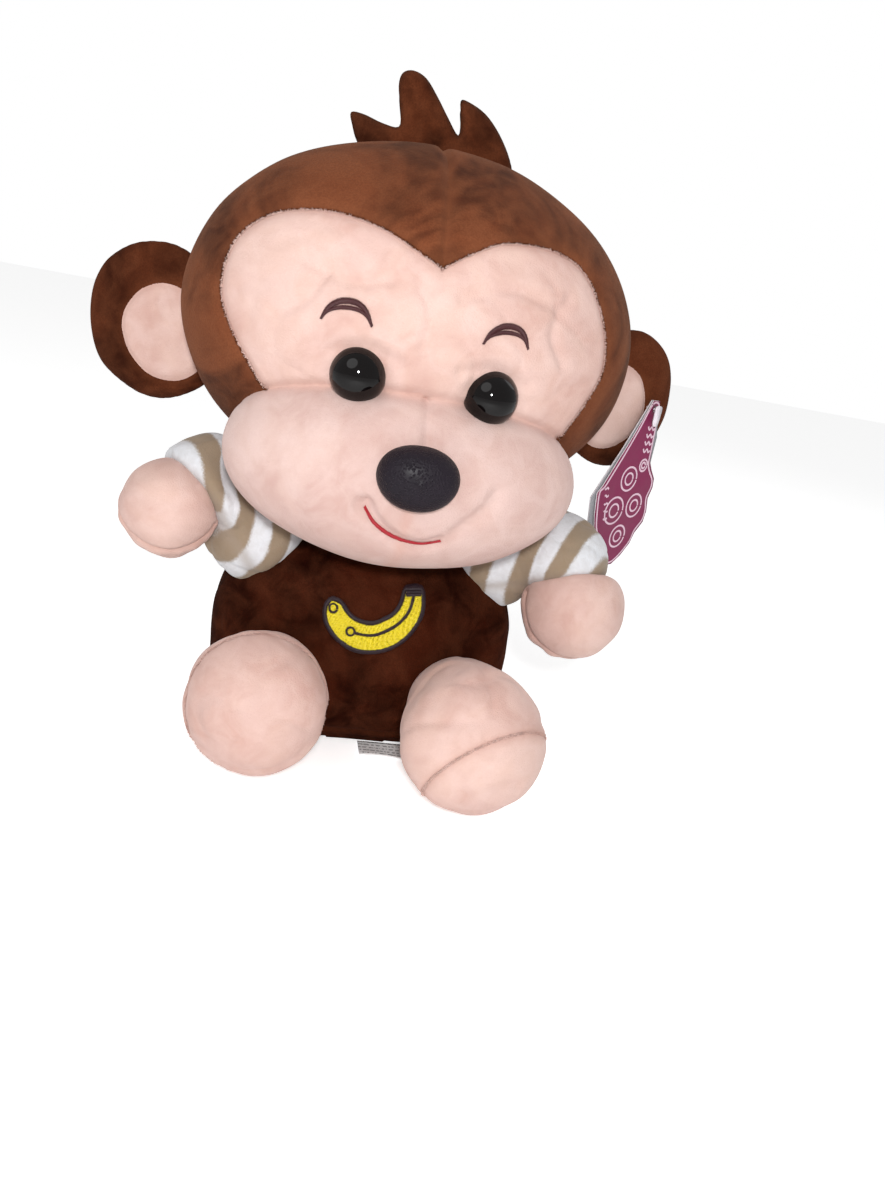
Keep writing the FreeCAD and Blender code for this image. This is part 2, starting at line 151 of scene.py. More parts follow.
def meshPiece(name, points, faces, material):
    mesh = bpy.data.meshes.new(name)
    mesh.from_pydata([tuple(p) for p in np.asarray(points) * mm], [], [tuple(f) for f in faces])
    mesh.shade_smooth()
    piece = bpy.data.objects.new(name, mesh)
    bpy.context.scene.collection.objects.link(piece)
    if material:
        mesh.materials.append(material)
    return piece


def editMesh(piece, edit):
    # opens the mesh of a piece, lets edit change it, and writes it back
    mesh = bmesh.new()
    mesh.from_mesh(piece.data)
    mesh.normal_update()
    edit(mesh)
    mesh.to_mesh(piece.data)
    mesh.free()


def faceOutwards(mesh):
    bmesh.ops.recalc_face_normals(mesh, faces=mesh.faces)


def tubeQuads(rings, around, base=0):
    # quads between closed rings of points that follow each other
    return [(base + i * around + k, base + i * around + (k + 1) % around,
             base + (i + 1) * around + (k + 1) % around, base + (i + 1) * around + k)
            for i in range(rings - 1) for k in range(around)]


def bump(distance, width):
    return np.exp(-(distance / width) ** 2)


def lumps(points, size, seed):
    # smooth uneven stuffing, between -1 and 1
    return np.array([noise.noise(Vector(p) / size + Vector((seed, 0, 0))) for p in points])


def wrinkles(points, size, seed):
    # thin creases where the noise crosses zero
    return np.array([bump(noise.noise(Vector(p) / size + Vector((0, seed, 0))), 0.11)
                     for p in points])


# Cloth: each stuffed form is blown up a little between its seams

settle = {"frames": 20, "pressure": 4.0, "cap": 2.2, "slack": 0.985, "cell": 5.0, "quality": 5,
          "mass": 0.15, "stretch": 12, "shear": 6, "bend": 0.6}


def coarseForm(name, shape):
    reach = np.median(shape["reach"](sphereDirections(4)[0]))
    directions, quads = sphereDirections(max(8, int(reach * 1.6 / settle["cell"])))
    points = shape["origin"] + directions * (shape["reach"](directions) * settle["slack"])[:, None]
    form = meshPiece(name + "Form", points, quads, None)
    pinned = form.vertex_groups.new(name="pinned")
    near = shape["seams"](points)
    pinned.add([int(i) for i in np.where(near < settle["cell"] * 0.6)[0]], 1.0, "REPLACE")
    cloth = form.modifiers.new("cloth", "CLOTH").settings
    cloth.quality = settle["quality"]
    cloth.mass = settle["mass"]
    cloth.tension_stiffness = settle["stretch"]
    cloth.compression_stiffness = settle["stretch"]
    cloth.shear_stiffness = settle["shear"]
    cloth.bending_stiffness = settle["bend"]
    cloth.use_pressure = True
    cloth.uniform_pressure_force = settle["pressure"]
    cloth.effector_weights.gravity = 0
    cloth.vertex_group_mass = "pinned"
    return form, points


def settleForms(shapes):
    coarse = {name: coarseForm(name, shape) for name, shape in shapes.items()}
    scene = bpy.context.scene
    for step in range(1, settle["frames"] + 1):
        scene.frame_set(step)
    graph = bpy.context.evaluated_depsgraph_get()
    for name, (form, rest) in coarse.items():
        mesh = bpy.data.meshes.new_from_object(form.evaluated_get(graph))
        moved = np.array([v.co for v in mesh.vertices]) / mm - rest
        length = np.linalg.norm(moved, axis=1)[:, None]
        print(name, "moved up to %.1f mm" % length.max())
        capped = rest + moved * np.minimum(1, settle["cap"] / np.maximum(length, 1e-6))
        mesh.vertices.foreach_set("co", (capped * mm).ravel())
        form.modifiers.clear()
        form.data = mesh
        form.modifiers.new("smooth", "SUBSURF").levels = 2
    graph = bpy.context.evaluated_depsgraph_get()
    settled = {name: BVHTree.FromObject(form, graph) for name, (form, _) in coarse.items()}
    for form, _ in coarse.values():
        bpy.data.objects.remove(form)
    scene.frame_set(1)
    return settled


def skinPoints(name, cells):
    # points on a form as drawn, the quads between them, and sunk, which places the same points
    # on the settled cloth, a depth below its surface
    shape = forms[name]
    directions, quads = sphereDirections(cells)
    start = Vector(shape["origin"]) * mm
    drawn = shape["reach"](directions)
    reach = np.empty(len(directions))
    for i, d in enumerate(directions):
        hit = surfaces[name].ray_cast(start, Vector(d))
        reach[i] = hit[3] / mm if hit[0] else drawn[i]

    def sunk(depth):
        return shape["origin"] + directions * (reach - depth)[:, None]
    return shape["origin"] + directions * drawn[:, None], quads, sunk


# Panels: a skin is cut along its seam lines and parted into pieces

def cutPanels(points, quads, seams):
    # seams maps a name to a signed distance for each point; every zero line becomes edges
    mesh = bmesh.new()
    layers = {name: mesh.verts.layers.float.new(name) for name in seams}
    verts = [mesh.verts.new(p) for p in points]
    for name, layer in layers.items():
        for vert, value in zip(verts, seams[name]):
            vert[layer] = 0.0 if abs(value) < 0.12 else float(value)
    for q in quads:
        mesh.faces.new([verts[i] for i in q])
    for name, layer in layers.items():
        for edge in [e for e in mesh.edges if e.verts[0][layer] * e.verts[1][layer] < 0]:
            a, b = edge.verts
            t = a[layer] / (a[layer] - b[layer])
            values = {k: a[k] + (b[k] - a[k]) * t for k in layers.values()}
            place = a.co.lerp(b.co, t)
            new = bmesh.utils.edge_split(edge, a, t)[1]
            new.co = place
            for k, value in values.items():
                new[k] = value
            new[layer] = 0.0
        for face in list(mesh.faces):
            zero = [v for v in face.verts if v[layer] == 0.0]
            if len(zero) == 2 and not any(set(e.verts) == set(zero) for e in face.edges):
                signs = {v[layer] > 0 for v in face.verts if v[layer] != 0.0}
                if len(signs) == 2:
                    bmesh.utils.face_split(face, zero[0], zero[1])
    mesh.verts.index_update()
    placed = np.array([v.co for v in mesh.verts])
    values = {name: np.array([v[layer] for v in mesh.verts]) for name, layer in layers.items()}
    faces = [[v.index for v in f.verts] for f in mesh.faces]
    mesh.free()
    return placed, faces, values


def partFaces(faces, values, choose):
    # choose gets the mean seam values of a face and names its panel
    parted = {}
    for face in faces:
        mean = {name: float(v[face].mean()) for name, v in values.items()}
        parted.setdefault(choose(mean), []).append(face)
    return parted


def panel(name, points, faces, material, **fields):
    used = np.unique(np.concatenate([np.array(f) for f in faces]))
    order = np.full(len(points), -1)
    order[used] = np.arange(len(used))
    piece = meshPiece(name, points[used], [[int(order[i]) for i in f] for f in faces], material)
    for field, values in fields.items():
        layer = piece.data.attributes.new(field, "FLOAT", "POINT")
        layer.data.foreach_set("value", np.asarray(values, np.float32)[used])
    return piece


def dress(piece, body, slotName, *nodes, fill=None):
    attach(piece, body)
    if nodes:
        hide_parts(*nodes)
    return piece


def dressAcross(piece, ends, slotName, nodes):
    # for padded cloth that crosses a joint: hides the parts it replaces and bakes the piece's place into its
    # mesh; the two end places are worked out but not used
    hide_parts(*nodes)
    start, end = (tuple(np.array(place) * mm) for place in ends)
    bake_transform(piece)
    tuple(start)
    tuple(end)


# Materials

def newGroup(name, inputs, outputs):
    group = bpy.data.node_groups.new(name, "ShaderNodeTree")
    for socket, value in inputs.items():
        group.interface.new_socket(socket, in_out="INPUT",
                                   socket_type="NodeSocketFloat").default_value = value
    for socket in outputs:
        group.interface.new_socket(socket, in_out="OUTPUT", socket_type="NodeSocketFloat")
    return group, group.nodes.new("NodeGroupInput"), group.nodes.new("NodeGroupOutput")


def noiseNode(tree, scale, detail=3.0, rough=0.55, distortion=0.0):
    node = tree.nodes.new("ShaderNodeTexNoise")
    node.inputs["Detail"].default_value = detail
    node.inputs["Roughness"].default_value = rough
    node.inputs["Distortion"].default_value = distortion
    if isinstance(scale, (int, float)):
        node.inputs["Scale"].default_value = scale
    else:
        tree.links.new(scale, node.inputs["Scale"])
    return node


def mathNode(tree, operation, a, b=0.0):
    node = tree.nodes.new("ShaderNodeMath")
    node.operation = operation
    for socket, value in zip(node.inputs, (a, b)):
        if isinstance(value, (int, float)):
            socket.default_value = value
        else:
            tree.links.new(value, socket)
    return node.outputs[0]


def rangeNode(tree, value, low, high, outLow=0.0, outHigh=1.0):
    node = tree.nodes.new("ShaderNodeMapRange")
    node.interpolation_type = "SMOOTHSTEP"
    tree.links.new(value, node.inputs["Value"])
    for name, number in (("From Min", low), ("From Max", high), ("To Min", outLow), ("To Max", outHigh)):
        node.inputs[name].default_value = number
    return node.outputs[0]


def makeNapGroup():
    # patches of pile that lie different ways, and the single fibres
    tree, given, result = newGroup("velourNap", {"Patch Scale": 45.0, "Fibre Scale": 1400.0},
                                   ("Patch", "Streak", "Fibre", "Height"))
    place = tree.nodes.new("ShaderNodeTexCoord").outputs["Object"]
    patch = noiseNode(tree, given.outputs["Patch Scale"], 3.0, 0.6, 1.4)
    streak = noiseNode(tree, mathNode(tree, "MULTIPLY", given.outputs["Patch Scale"], 4.5), 3.0, 0.6, 0.8)
    fibre = noiseNode(tree, given.outputs["Fibre Scale"], 2.0, 0.7)
    for node in (patch, streak, fibre):
        tree.links.new(place, node.inputs["Vector"])
    height = mathNode(tree, "ADD", mathNode(tree, "MULTIPLY", fibre.outputs["Fac"], 0.55),
                      mathNode(tree, "MULTIPLY", streak.outputs["Fac"], 0.45))
    for name, node, low in (("Patch", patch, 0.36), ("Streak", streak, 0.3), ("Fibre", fibre, 0.3)):
        tree.links.new(rangeNode(tree, node.outputs["Fac"], low, 1 - low), result.inputs[name])
    tree.links.new(height, result.inputs["Height"])
    return tree


napGroup = makeNapGroup()


def newMaterial(name):
    material = bpy.data.materials.new(name)
    material.use_nodes = True
    tree = material.node_tree
    return material, tree, tree.nodes["Principled BSDF"]


def napNode(tree, patchScale, fibreScale):
    node = tree.nodes.new("ShaderNodeGroup")
    node.node_tree = napGroup
    node.inputs["Patch Scale"].default_value = patchScale
    node.inputs["Fibre Scale"].default_value = fibreScale
    return node


def setShader(shader, **values):
    # roughness=0.5 sets the socket "Roughness", and so on
    names = {"specular": "Specular IOR Level", "sheen": "Sheen Weight", "sheenRoughness": "Sheen Roughness",
             "sheenTint": "Sheen Tint", "coat": "Coat Weight", "coatRoughness": "Coat Roughness",
             "roughness": "Roughness", "emission": "Emission Color"}
    for key, value in values.items():
        shader.inputs[names[key]].default_value = (*value, 1.0) if isinstance(value, tuple) else value


def mixColour(tree, amount, a, b):
    node = tree.nodes.new("ShaderNodeMix")
    node.data_type = "RGBA"
    for socket, value in ((node.inputs[0], amount), (node.inputs[6], a), (node.inputs[7], b)):
        if isinstance(value, (int, float)):
            socket.default_value = value
        elif isinstance(value, tuple):
            socket.default_value = (*value, 1.0)
        else:
            tree.links.new(value, socket)
    return node.outputs[2]


def bumpNode(tree, height, strength, distance):
    node = tree.nodes.new("ShaderNodeBump")
    node.inputs["Strength"].default_value = strength
    node.inputs["Distance"].default_value = distance
    tree.links.new(height, node.inputs["Height"])
    return node.outputs["Normal"]


def attributeNode(tree, name):
    node = tree.nodes.new("ShaderNodeAttribute")
    node.attribute_name = name
    return node.outputs["Fac"]


def velour(name, look):
    material, tree, shader = newMaterial(name)
    nap = napNode(tree, look["patchScale"], look["fibreScale"])
    colour = mixColour(tree, nap.outputs["Patch"], look["deep"], look["light"])
    streaks = mathNode(tree, "MULTIPLY", nap.outputs["Streak"], look["streak"])
    colour = mixColour(tree, streaks, colour, look["warm"])
    fibre = rangeNode(tree, nap.outputs["Fibre"], 0.0, 1.0, 0.0, look["fibre"])
    colour = mixColour(tree, fibre, colour, look["deep"])
    # near the seam lines the colour is pulled towards the seam colour: painted shade in the seam grooves of
    # the pink cloths, where it is darker; on the brown cloths the seam colour is lighter and warmer
    seam = mathNode(tree, "MULTIPLY", attributeNode(tree, "seam"), look["seamShade"])
    tree.links.new(mixColour(tree, seam, colour, look["seam"]), shader.inputs["Base Color"])
    setShader(shader, roughness=0.95, specular=look["gloss"], sheen=look["sheen"], sheenRoughness=0.45,
              sheenTint=look["sheenTint"])
    tree.links.new(bumpNode(tree, nap.outputs["Height"], look["bump"], 0.0006), shader.inputs["Normal"])
    return material


brownLook = {
    "deep": (0.042, 0.0095, 0.0035), "light": (0.165, 0.047, 0.018), "warm": (0.23, 0.080, 0.034),
    "seam": (0.20, 0.065, 0.028), "patchScale": 19.0, "fibreScale": 1500.0, "streak": 0.28,
    "fibre": 0.25, "gloss": 0.15, "seamShade": 0.35, "sheen": 0.07, "sheenTint": (0.95, 0.5, 0.3),
    "bump": 0.7,
}
pinkLook = {
    "deep": (0.545, 0.345, 0.295), "light": (0.635, 0.44, 0.38), "warm": (0.70, 0.525, 0.485),
    "seam": (0.54, 0.325, 0.27), "patchScale": 22.0, "fibreScale": 1700.0, "streak": 0.4,
    "fibre": 0.14, "gloss": 0.15, "seamShade": 0.5, "sheen": 0.15, "sheenTint": (1.0, 0.94, 0.95),
    "bump": 0.7,
}
# painted shade: the body's cloth is a darker copy of the brown velour, as its pile lies away from the light,
# and the ears and the tuft have a copy between the two
bodyLook = dict(brownLook, deep=(0.012, 0.0022, 0.001), light=(0.046, 0.0095, 0.0038),
                warm=(0.12, 0.036, 0.016), seam=(0.07, 0.019, 0.008), sheen=0.0, gloss=0.02)
earLook = dict(brownLook, deep=(0.026, 0.0055, 0.002), light=(0.095, 0.024, 0.009),
               warm=(0.17, 0.054, 0.023), seam=(0.12, 0.036, 0.015), sheen=0.02, gloss=0.06)
# painted shade: the muzzle's cloth is a slightly greyer, more lilac copy of the pink velour
muzzleLook = dict(pinkLook, deep=(0.52, 0.345, 0.305), light=(0.60, 0.43, 0.385), warm=(0.67, 0.52, 0.49))
brownVelour = velour("brownVelour", brownLook)
bodyVelour = velour("bodyVelour", bodyLook)
earVelour = velour("earVelour", earLook)
pinkVelour = velour("pinkVelour", pinkLook)
muzzleVelour = velour("muzzleVelour", muzzleLook)


def makeStripes():
    # white plush with khaki rings round the arm; "along" is the distance down the arm
    look = {"pitch": 14.5, "khaki": (0.27, 0.20, 0.135), "white": (0.66, 0.67, 0.70), "wobble": 0.035,
            "streak": (0.3, 0.25, 0.2), "streakShare": 0.18, "seam": (0.30, 0.24, 0.19), "seamShade": 0.5}
    material, tree, shader = newMaterial("stripedPlush")
    nap = napNode(tree, 60.0, 1500.0)
    wobble = mathNode(tree, "MULTIPLY", nap.outputs["Fibre"], look["wobble"])
    turns = mathNode(tree, "DIVIDE", attributeNode(tree, "along"), look["pitch"])
    turns = mathNode(tree, "ADD", turns, wobble)
    wave = mathNode(tree, "SINE", mathNode(tree, "MULTIPLY", turns, 2 * math.pi))
    colour = mixColour(tree, rangeNode(tree, wave, -0.38, 0.30), look["white"], look["khaki"])
    streaks = mathNode(tree, "MULTIPLY", nap.outputs["Streak"], look["streakShare"])
    colour = mixColour(tree, streaks, colour, look["streak"])
    # painted shade in the groove of the cuff seam: the colour is pulled towards the darker seam colour there
    seam = mathNode(tree, "MULTIPLY", attributeNode(tree, "seam"), look["seamShade"])
    tree.links.new(mixColour(tree, seam, colour, look["seam"]), shader.inputs["Base Color"])
    setShader(shader, roughness=0.95, specular=0.15, sheen=0.15)
    tree.links.new(bumpNode(tree, nap.outputs["Height"], 0.5, 0.0006), shader.inputs["Normal"])
    return material


stripedPlush = makeStripes()


def plainMaterial(name, colour, roughness, spot=0.0, spotScale=900.0, bumpSize=0.0, coat=0.0):
    # one colour broken by a fine noise that also lifts the surface
    material, tree, shader = newMaterial(name)
    place = tree.nodes.new("ShaderNodeTexCoord").outputs["Object"]
    grain = noiseNode(tree, spotScale, 3.0, 0.6)
    tree.links.new(place, grain.inputs["Vector"])
    darker = tuple(c * (1 - spot) for c in colour)
    tree.links.new(mixColour(tree, grain.outputs["Fac"], darker, colour), shader.inputs["Base Color"])
    rough = rangeNode(tree, grain.outputs["Fac"], 0.2, 0.8, roughness * 0.85, min(1.0, roughness * 1.15))
    tree.links.new(rough, shader.inputs["Roughness"])
    if bumpSize:
        tree.links.new(bumpNode(tree, grain.outputs["Fac"], 0.6, bumpSize), shader.inputs["Normal"])
    setShader(shader, coat=coat, coatRoughness=0.03)
    return material


def makeNoseMaterial():
    # moulded plastic with a pebbled leather grain
    material, tree, shader = newMaterial("pebbledNose")
    place = tree.nodes.new("ShaderNodeTexCoord").outputs["Object"]
    cells = tree.nodes.new("ShaderNodeTexVoronoi")
    cells.inputs["Scale"].default_value = 1300.0
    tree.links.new(place, cells.inputs["Vector"])
    wear = noiseNode(tree, 90.0, 3.0)
    tree.links.new(place, wear.inputs["Vector"])
    colour = mixColour(tree, wear.outputs["Fac"], (0.007, 0.005, 0.008), (0.015, 0.010, 0.016))
    tree.links.new(colour, shader.inputs["Base Color"])
    pebble = rangeNode(tree, cells.outputs["Distance"], 0.0, 0.6, 1.0, 0.0)
    tree.links.new(rangeNode(tree, wear.outputs["Fac"], 0.3, 0.7, 0.42, 0.56), shader.inputs["Roughness"])
    tree.links.new(bumpNode(tree, pebble, 0.8, 0.0003), shader.inputs["Normal"])
    setShader(shader, specular=0.17)
    return material


eyeGloss = plainMaterial("eyeGloss", (0.003, 0.002, 0.002), 0.05, spot=0.3, spotScale=60.0)
setShader(eyeGloss.node_tree.nodes["Principled BSDF"], specular=0.28)
noseLeather = makeNoseMaterial()
maroonThread = plainMaterial("maroonThread", (0.060, 0.008, 0.010), 0.5, 0.4, 1600.0, 0.0001)
redThread = plainMaterial("redThread", (0.42, 0.008, 0.02), 0.5, 0.4, 1600.0, 0.0001)
yellowThread = plainMaterial("yellowThread", (0.90, 0.74, 0.02), 0.34, 0.35, 1600.0, 0.0001)
darkThread = plainMaterial("darkThread", (0.020, 0.006, 0.012), 0.5, 0.4, 1600.0, 0.0001)
tagInk = plainMaterial("tagInk", (0.72, 0.50, 0.60), 0.5, 0.1, 500.0)
tagCardPrint = plainMaterial("tagCardPrint", (0.21, 0.006, 0.065), 0.55, 0.2, 120.0)
tagCardBack = plainMaterial("tagCardBack", (0.30, 0.30, 0.32), 0.6, 0.15, 700.0)
cardEdge = plainMaterial("cardEdge", (0.80, 0.74, 0.77), 0.7, 0.1, 900.0)
clearPlastic = plainMaterial("clearPlastic", (0.80, 0.74, 0.80), 0.2, 0.1, 400.0, coat=0.4)
washerPlastic = plainMaterial("washerPlastic", (0.75, 0.75, 0.72), 0.5, 0.1, 400.0)


def makeLabelMaterial():
    # woven satin tape with rows of plain dashes in place of any words
    material, tree, shader = newMaterial("labelSatin")
    place = tree.nodes.new("ShaderNodeTexCoord").outputs["Object"]
    split = tree.nodes.new("ShaderNodeSeparateXYZ")
    tree.links.new(place, split.inputs[0])
    rows = mathNode(tree, "FRACT", mathNode(tree, "MULTIPLY", split.outputs["Y"], 430.0))
    dashes = noiseNode(tree, 1.0, 1.0)
    stretch = tree.nodes.new("ShaderNodeMapping")
    stretch.inputs["Scale"].default_value = (1100.0, 430.0, 1.0)
    tree.links.new(place, stretch.inputs["Vector"])
    tree.links.new(stretch.outputs[0], dashes.inputs["Vector"])
    ink = mathNode(tree, "MULTIPLY", mathNode(tree, "GREATER_THAN", rows, 0.55),
                   mathNode(tree, "GREATER_THAN", dashes.outputs["Fac"], 0.47))
    colour = mixColour(tree, mathNode(tree, "MULTIPLY", ink, 0.7), (0.78, 0.78, 0.78), (0.12, 0.12, 0.13))
    tree.links.new(colour, shader.inputs["Base Color"])
    weave = tree.nodes.new("ShaderNodeTexWave")
    weave.inputs["Scale"].default_value = 900.0
    tree.links.new(place, weave.inputs["Vector"])
    tree.links.new(bumpNode(tree, weave.outputs["Fac"], 0.3, 0.0001), shader.inputs["Normal"])
    shader.inputs["Roughness"].default_value = 0.5
    return material


labelSatin = makeLabelMaterial()
print("materials made")

# Forms: each is a surface seen from one point inside it

def reachOf(origin, inside, far):
    # halves the step between inside and outside along every ray
    def reach(directions):
        low = np.zeros(len(directions))
        high = np.full(len(directions), far)
        for _ in range(26):
            middle = (low + high) / 2
            within = inside(origin + directions * middle[:, None])
            low = np.where(within, middle, low)
            high = np.where(within, high, middle)
        return low
    return reach


shoulder = {side: pivot("arm_%s_lift" % side) for side in sides}
wrist = {side: pivot("hand_%s_bend" % side) for side in sides}
armLine = {side: (wrist[side] - shoulder[side]) / np.linalg.norm(wrist[side] - shoulder[side])
           for side in sides}

headSizes = {"origin": (0, -12, 140), "head": ((0, 0, 158.6), (86.2, 64.0, 65.6)),
             "muzzle": ((0, -36.5, 113.8), (64.7, 40.4, 36.5)), "muzzleSeam": 2.6, "maskSeam": 1.0,
             "crownSeam": 1.5, "backSeam": 8.0, "eye": (22.2, 145.4), "socket": 2.4, "cells": 110}
faceMask = [(-54.2, 135.5), (-65.6, 151), (-70.8, 164.5), (-67.4, 180), (-56.2, 189.6), (-39.2, 193.7),
            (-22.6, 191.6), (-9, 186.4), (-1.5, 183.2), (9.0, 189.8), (19.9, 194.4), (38.9, 195.4),
            (52.4, 189.2), (62.2, 174.6), (65.1, 160), (61.4, 149.2), (55.6, 136.9), (46, 112), (-46, 112)]
maskLine = np.concatenate([smoothLine(faceMask[:9], 6)[:-1], smoothLine(faceMask[8:], 6)])
mouthLine = smoothLine([(-15.3, 106), (-12.9, 103.4), (-7.3, 98.6), (0, 95.4), (6.5, 95.2), (11.5, 97.2)], 6)
smileFold = smoothLine([(16.5, 101), (20.5, 105.3), (25, 110), (27.8, 115.5)], 5)
browFolds = [smoothLine([(-44, 178), (-30, 174), (-16, 177)], 5),
             smoothLine([(6, 176), (22, 181), (40, 178)], 5),
             smoothLine([(-52, 160), (-42, 167), (-38, 176)], 5),
             smoothLine([(46, 160), (40, 170), (44, 181)], 5),
             smoothLine([(-8, 178), (-3, 168), (-4, 158)], 5),
             smoothLine([(-34, 152), (-22, 156), (-10, 152)], 5),
             smoothLine([(10, 153), (22, 156), (34, 152)], 5)]


def headReaches(directions):
    origin = headSizes["origin"]
    return (ellipsoidReach(directions, origin, *headSizes["head"]),
            ellipsoidReach(directions, origin, *headSizes["muzzle"]))


def headReach(directions):
    head, muzzle = headReaches(directions)
    reach = np.maximum(head, muzzle)
    points = headSizes["origin"] + directions * reach[:, None]
    slope = np.clip((132 - points[:, 2]) / 34, 0, 1) * np.clip((points[:, 1] + 40) / 30, 0, 1)
    return reach - 2.0 * slope * (muzzle > head)


def maskDistance(points):
    flat = points[:, [0, 2]]
    inside = insideOutline(flat, maskLine) & (points[:, 1] < 0)
    gap = polylineDistance(flat, np.vstack([maskLine, maskLine[:1]]))
    return np.where(inside, gap, -gap)


def headDifference(points):
    # how far the muzzle stands out past the skull, seen from the form's origin
    directions = points - headSizes["origin"]
    skull, muzzle = headReaches(directions / np.linalg.norm(directions, axis=1)[:, None])
    return muzzle - skull


def headSeamGap(points):
    difference = headDifference(points)
    onSkull, mask = difference < 0, maskDistance(points)
    gaps = [np.abs(difference) * 1.5, np.where(onSkull, np.abs(mask), 50),
            np.where(onSkull & (mask < 0), np.abs(points[:, 0]), 50),
            np.where(onSkull, np.abs(points[:, 1] - headSizes["backSeam"]), 50)]
    return np.minimum.reduce(gaps)


# height, half width, half depth in front and behind
torsoTable = smoothLine([(-2, 48, 31, 31), (0, 51, 34, 34), (6, 58, 39.5, 39.5), (22, 63, 43, 43),
                         (45, 63, 42.5, 42.5), (60, 58, 40, 40), (68, 52.5, 36, 37), (74, 46, 29.5, 33),
                         (80, 37, 19, 27), (83, 26, 11, 19)], 6)
torsoSizes = {"origin": (0, 0, 38), "corner": 2.35, "top": 83.0, "sideSeam": 2.0, "seatSeam": 5.0,
              "cells": 72}


def insideTorso(points):
    x, y, z = points.T
    wide, front, back = (np.interp(z, torsoTable[:, 0], torsoTable[:, k]) for k in (1, 2, 3))
    deep = np.where(y < torsoSizes["sideSeam"], front, back)
    flat = (np.abs(x) / wide) ** torsoSizes["corner"] + (np.abs(y) / deep) ** torsoSizes["corner"]
    return (flat < 1) & (z > 0) & (z < torsoSizes["top"])


def torsoSeamGap(points):
    return np.minimum(np.abs(points[:, 2] - torsoSizes["seatSeam"]),
                      np.abs(points[:, 1] - torsoSizes["sideSeam"]))


sleeveSizes = {"rootCentre": (47.5, -8, 74), "cuff": 18.0, "swell": 7.0, "taper": 9.0, "cells": 42,
               "skullClear": 1.05, "muzzleClear": 1.08, "blend": (-8, 14)}
puffCentre = {"left": np.array((-67.0, -12.0, 88.0)), "right": np.array((71.5, -14.5, 78.0))}
puffRadius = {"left": 22.8, "right": 23.6}
rootRadius = {"left": 21.5, "right": 19.5}
handCentre = {"left": np.array((-80.2, -23.0, 83.2)), "right": np.array((79.6, -25.5, 64.8))}
handRadius = {"left": 18.2, "right": 21.4}
handLine = {"left": np.array(Vector((-0.66, -0.50, -0.56)).normalized()),
            "right": np.array(Vector((0.14, -0.48, -0.86)).normalized())}
ringLine = {"left": armLine["left"], "right": np.array(Vector((0.80, -0.56, -0.05)).normalized())}
handSizes = {"cuffBack": 8.5, "inCuff": 3.5, "seam": {"left": -1.5, "right": -0.5}, "cells": 48, "blend": 12}


def beyondCuff(side, points):
    # distance past the cuff seam towards the hand, and distance off the hand's middle line
    line = handLine[side]
    offset = points - handCentre[side]
    past = offset @ line
    return past + handSizes["cuffBack"], np.linalg.norm(offset - past[:, None] * line, axis=1)


def insideSleeve(side):
    rootCentre = np.array(sleeveSizes["rootCentre"]) * (sides[side], 1, 1)

    def inside(points):
        past, off = beyondCuff(side, points)
        share = np.clip(1 + past / sleeveSizes["taper"], 0, 1)
        limit = sleeveSizes["cuff"] + sleeveSizes["swell"] * np.sqrt(1 - share ** 2)
        puff = np.linalg.norm(points - puffCentre[side], axis=1) < puffRadius[side]
        puff &= (past < 0) & ((share == 0) | (off < limit))
        root = np.linalg.norm(points - rootCentre, axis=1) < rootRadius[side]
        skull = ellipsoidGap(points, *headSizes["head"]) < sleeveSizes["skullClear"]
        muzzle = ellipsoidGap(points, *headSizes["muzzle"]) < sleeveSizes["muzzleClear"]
        return (puff | root) & ~skull & ~muzzle
    return inside


def insideHand(side):
    def inside(points):
        ball = np.linalg.norm(points - handCentre[side], axis=1) < handRadius[side]
        return ball & (beyondCuff(side, points)[0] > -handSizes["inCuff"])
    return inside


footCentre = {"left": np.array((-40.6, -61, 27.4)), "right": np.array((36.6, -74.5, 27.0))}
footBall = {"left": 26.3, "right": 27.2}
soleAhead = {"left": 3.5, "right": 14.7}
soleSlope = {"left": (0.10, 0.25), "right": (0.52, -0.70)}
hip = {side: pivot("leg_%s_lift" % side) for side in sides}
footSizes = {"hip": 17.0, "balls": 12, "cells": 60, "blend": 0.75}


def soleGap(side, points):
    # how far in front of the sole's seam a point lies
    offset = points - footCentre[side]
    slopeX, slopeZ = soleSlope[side]
    gap = -soleAhead[side] - offset[:, 1] + slopeX * offset[:, 0] + slopeZ * offset[:, 2]
    return gap / math.sqrt(1 + slopeX ** 2 + slopeZ ** 2)


def insideFoot(side):
    # one egg from the hip to the toe: a ball that grows as it moves along the leg
    def inside(points):
        within = np.zeros(len(points), bool)
        for t in np.linspace(0, 1, footSizes["balls"]):
            centre = hip[side] + (footCentre[side] - hip[side]) * t
            radius = footSizes["hip"] + (footBall[side] - footSizes["hip"]) * t ** 0.8
            within |= ((points - centre) ** 2).sum(axis=1) < radius ** 2
        return within & (points[:, 2] > 0.4)
    return inside


earCentre = {"left": np.array((-94.8, 16.4, 144.2)), "right": np.array((93.0, 16.4, 145.6))}
earSizes = {"radius": 30.6, "tall": 31.6, "thick": 7.2, "dish": 3.2, "lining": 18.0, "sweep": 20.0,
            "cells": 64, "blend": (-5, 7)}


def earAxes(side):
    # the ways across an ear and out of its front
    lean = math.radians(earSizes["sweep"])
    return (np.array((sides[side] * math.cos(lean), math.sin(lean), 0)),
            np.array((sides[side] * math.sin(lean), -math.cos(lean), 0)))


def insideEar(side):
    across, ahead = earAxes(side)

    def inside(points):
        offset = points - earCentre[side]
        u, v, w = offset @ across, offset[:, 2], offset @ ahead
        rim = np.sqrt((u / earSizes["radius"]) ** 2 + (v / earSizes["tall"]) ** 2)
        thick = earSizes["thick"] * np.sqrt(np.maximum(1 - rim ** 3, 0))
        dish = earSizes["dish"] * np.exp(-(rim / 0.55) ** 2)
        return (rim < 1) & (w < thick - dish) & (w > -thick)
    return inside


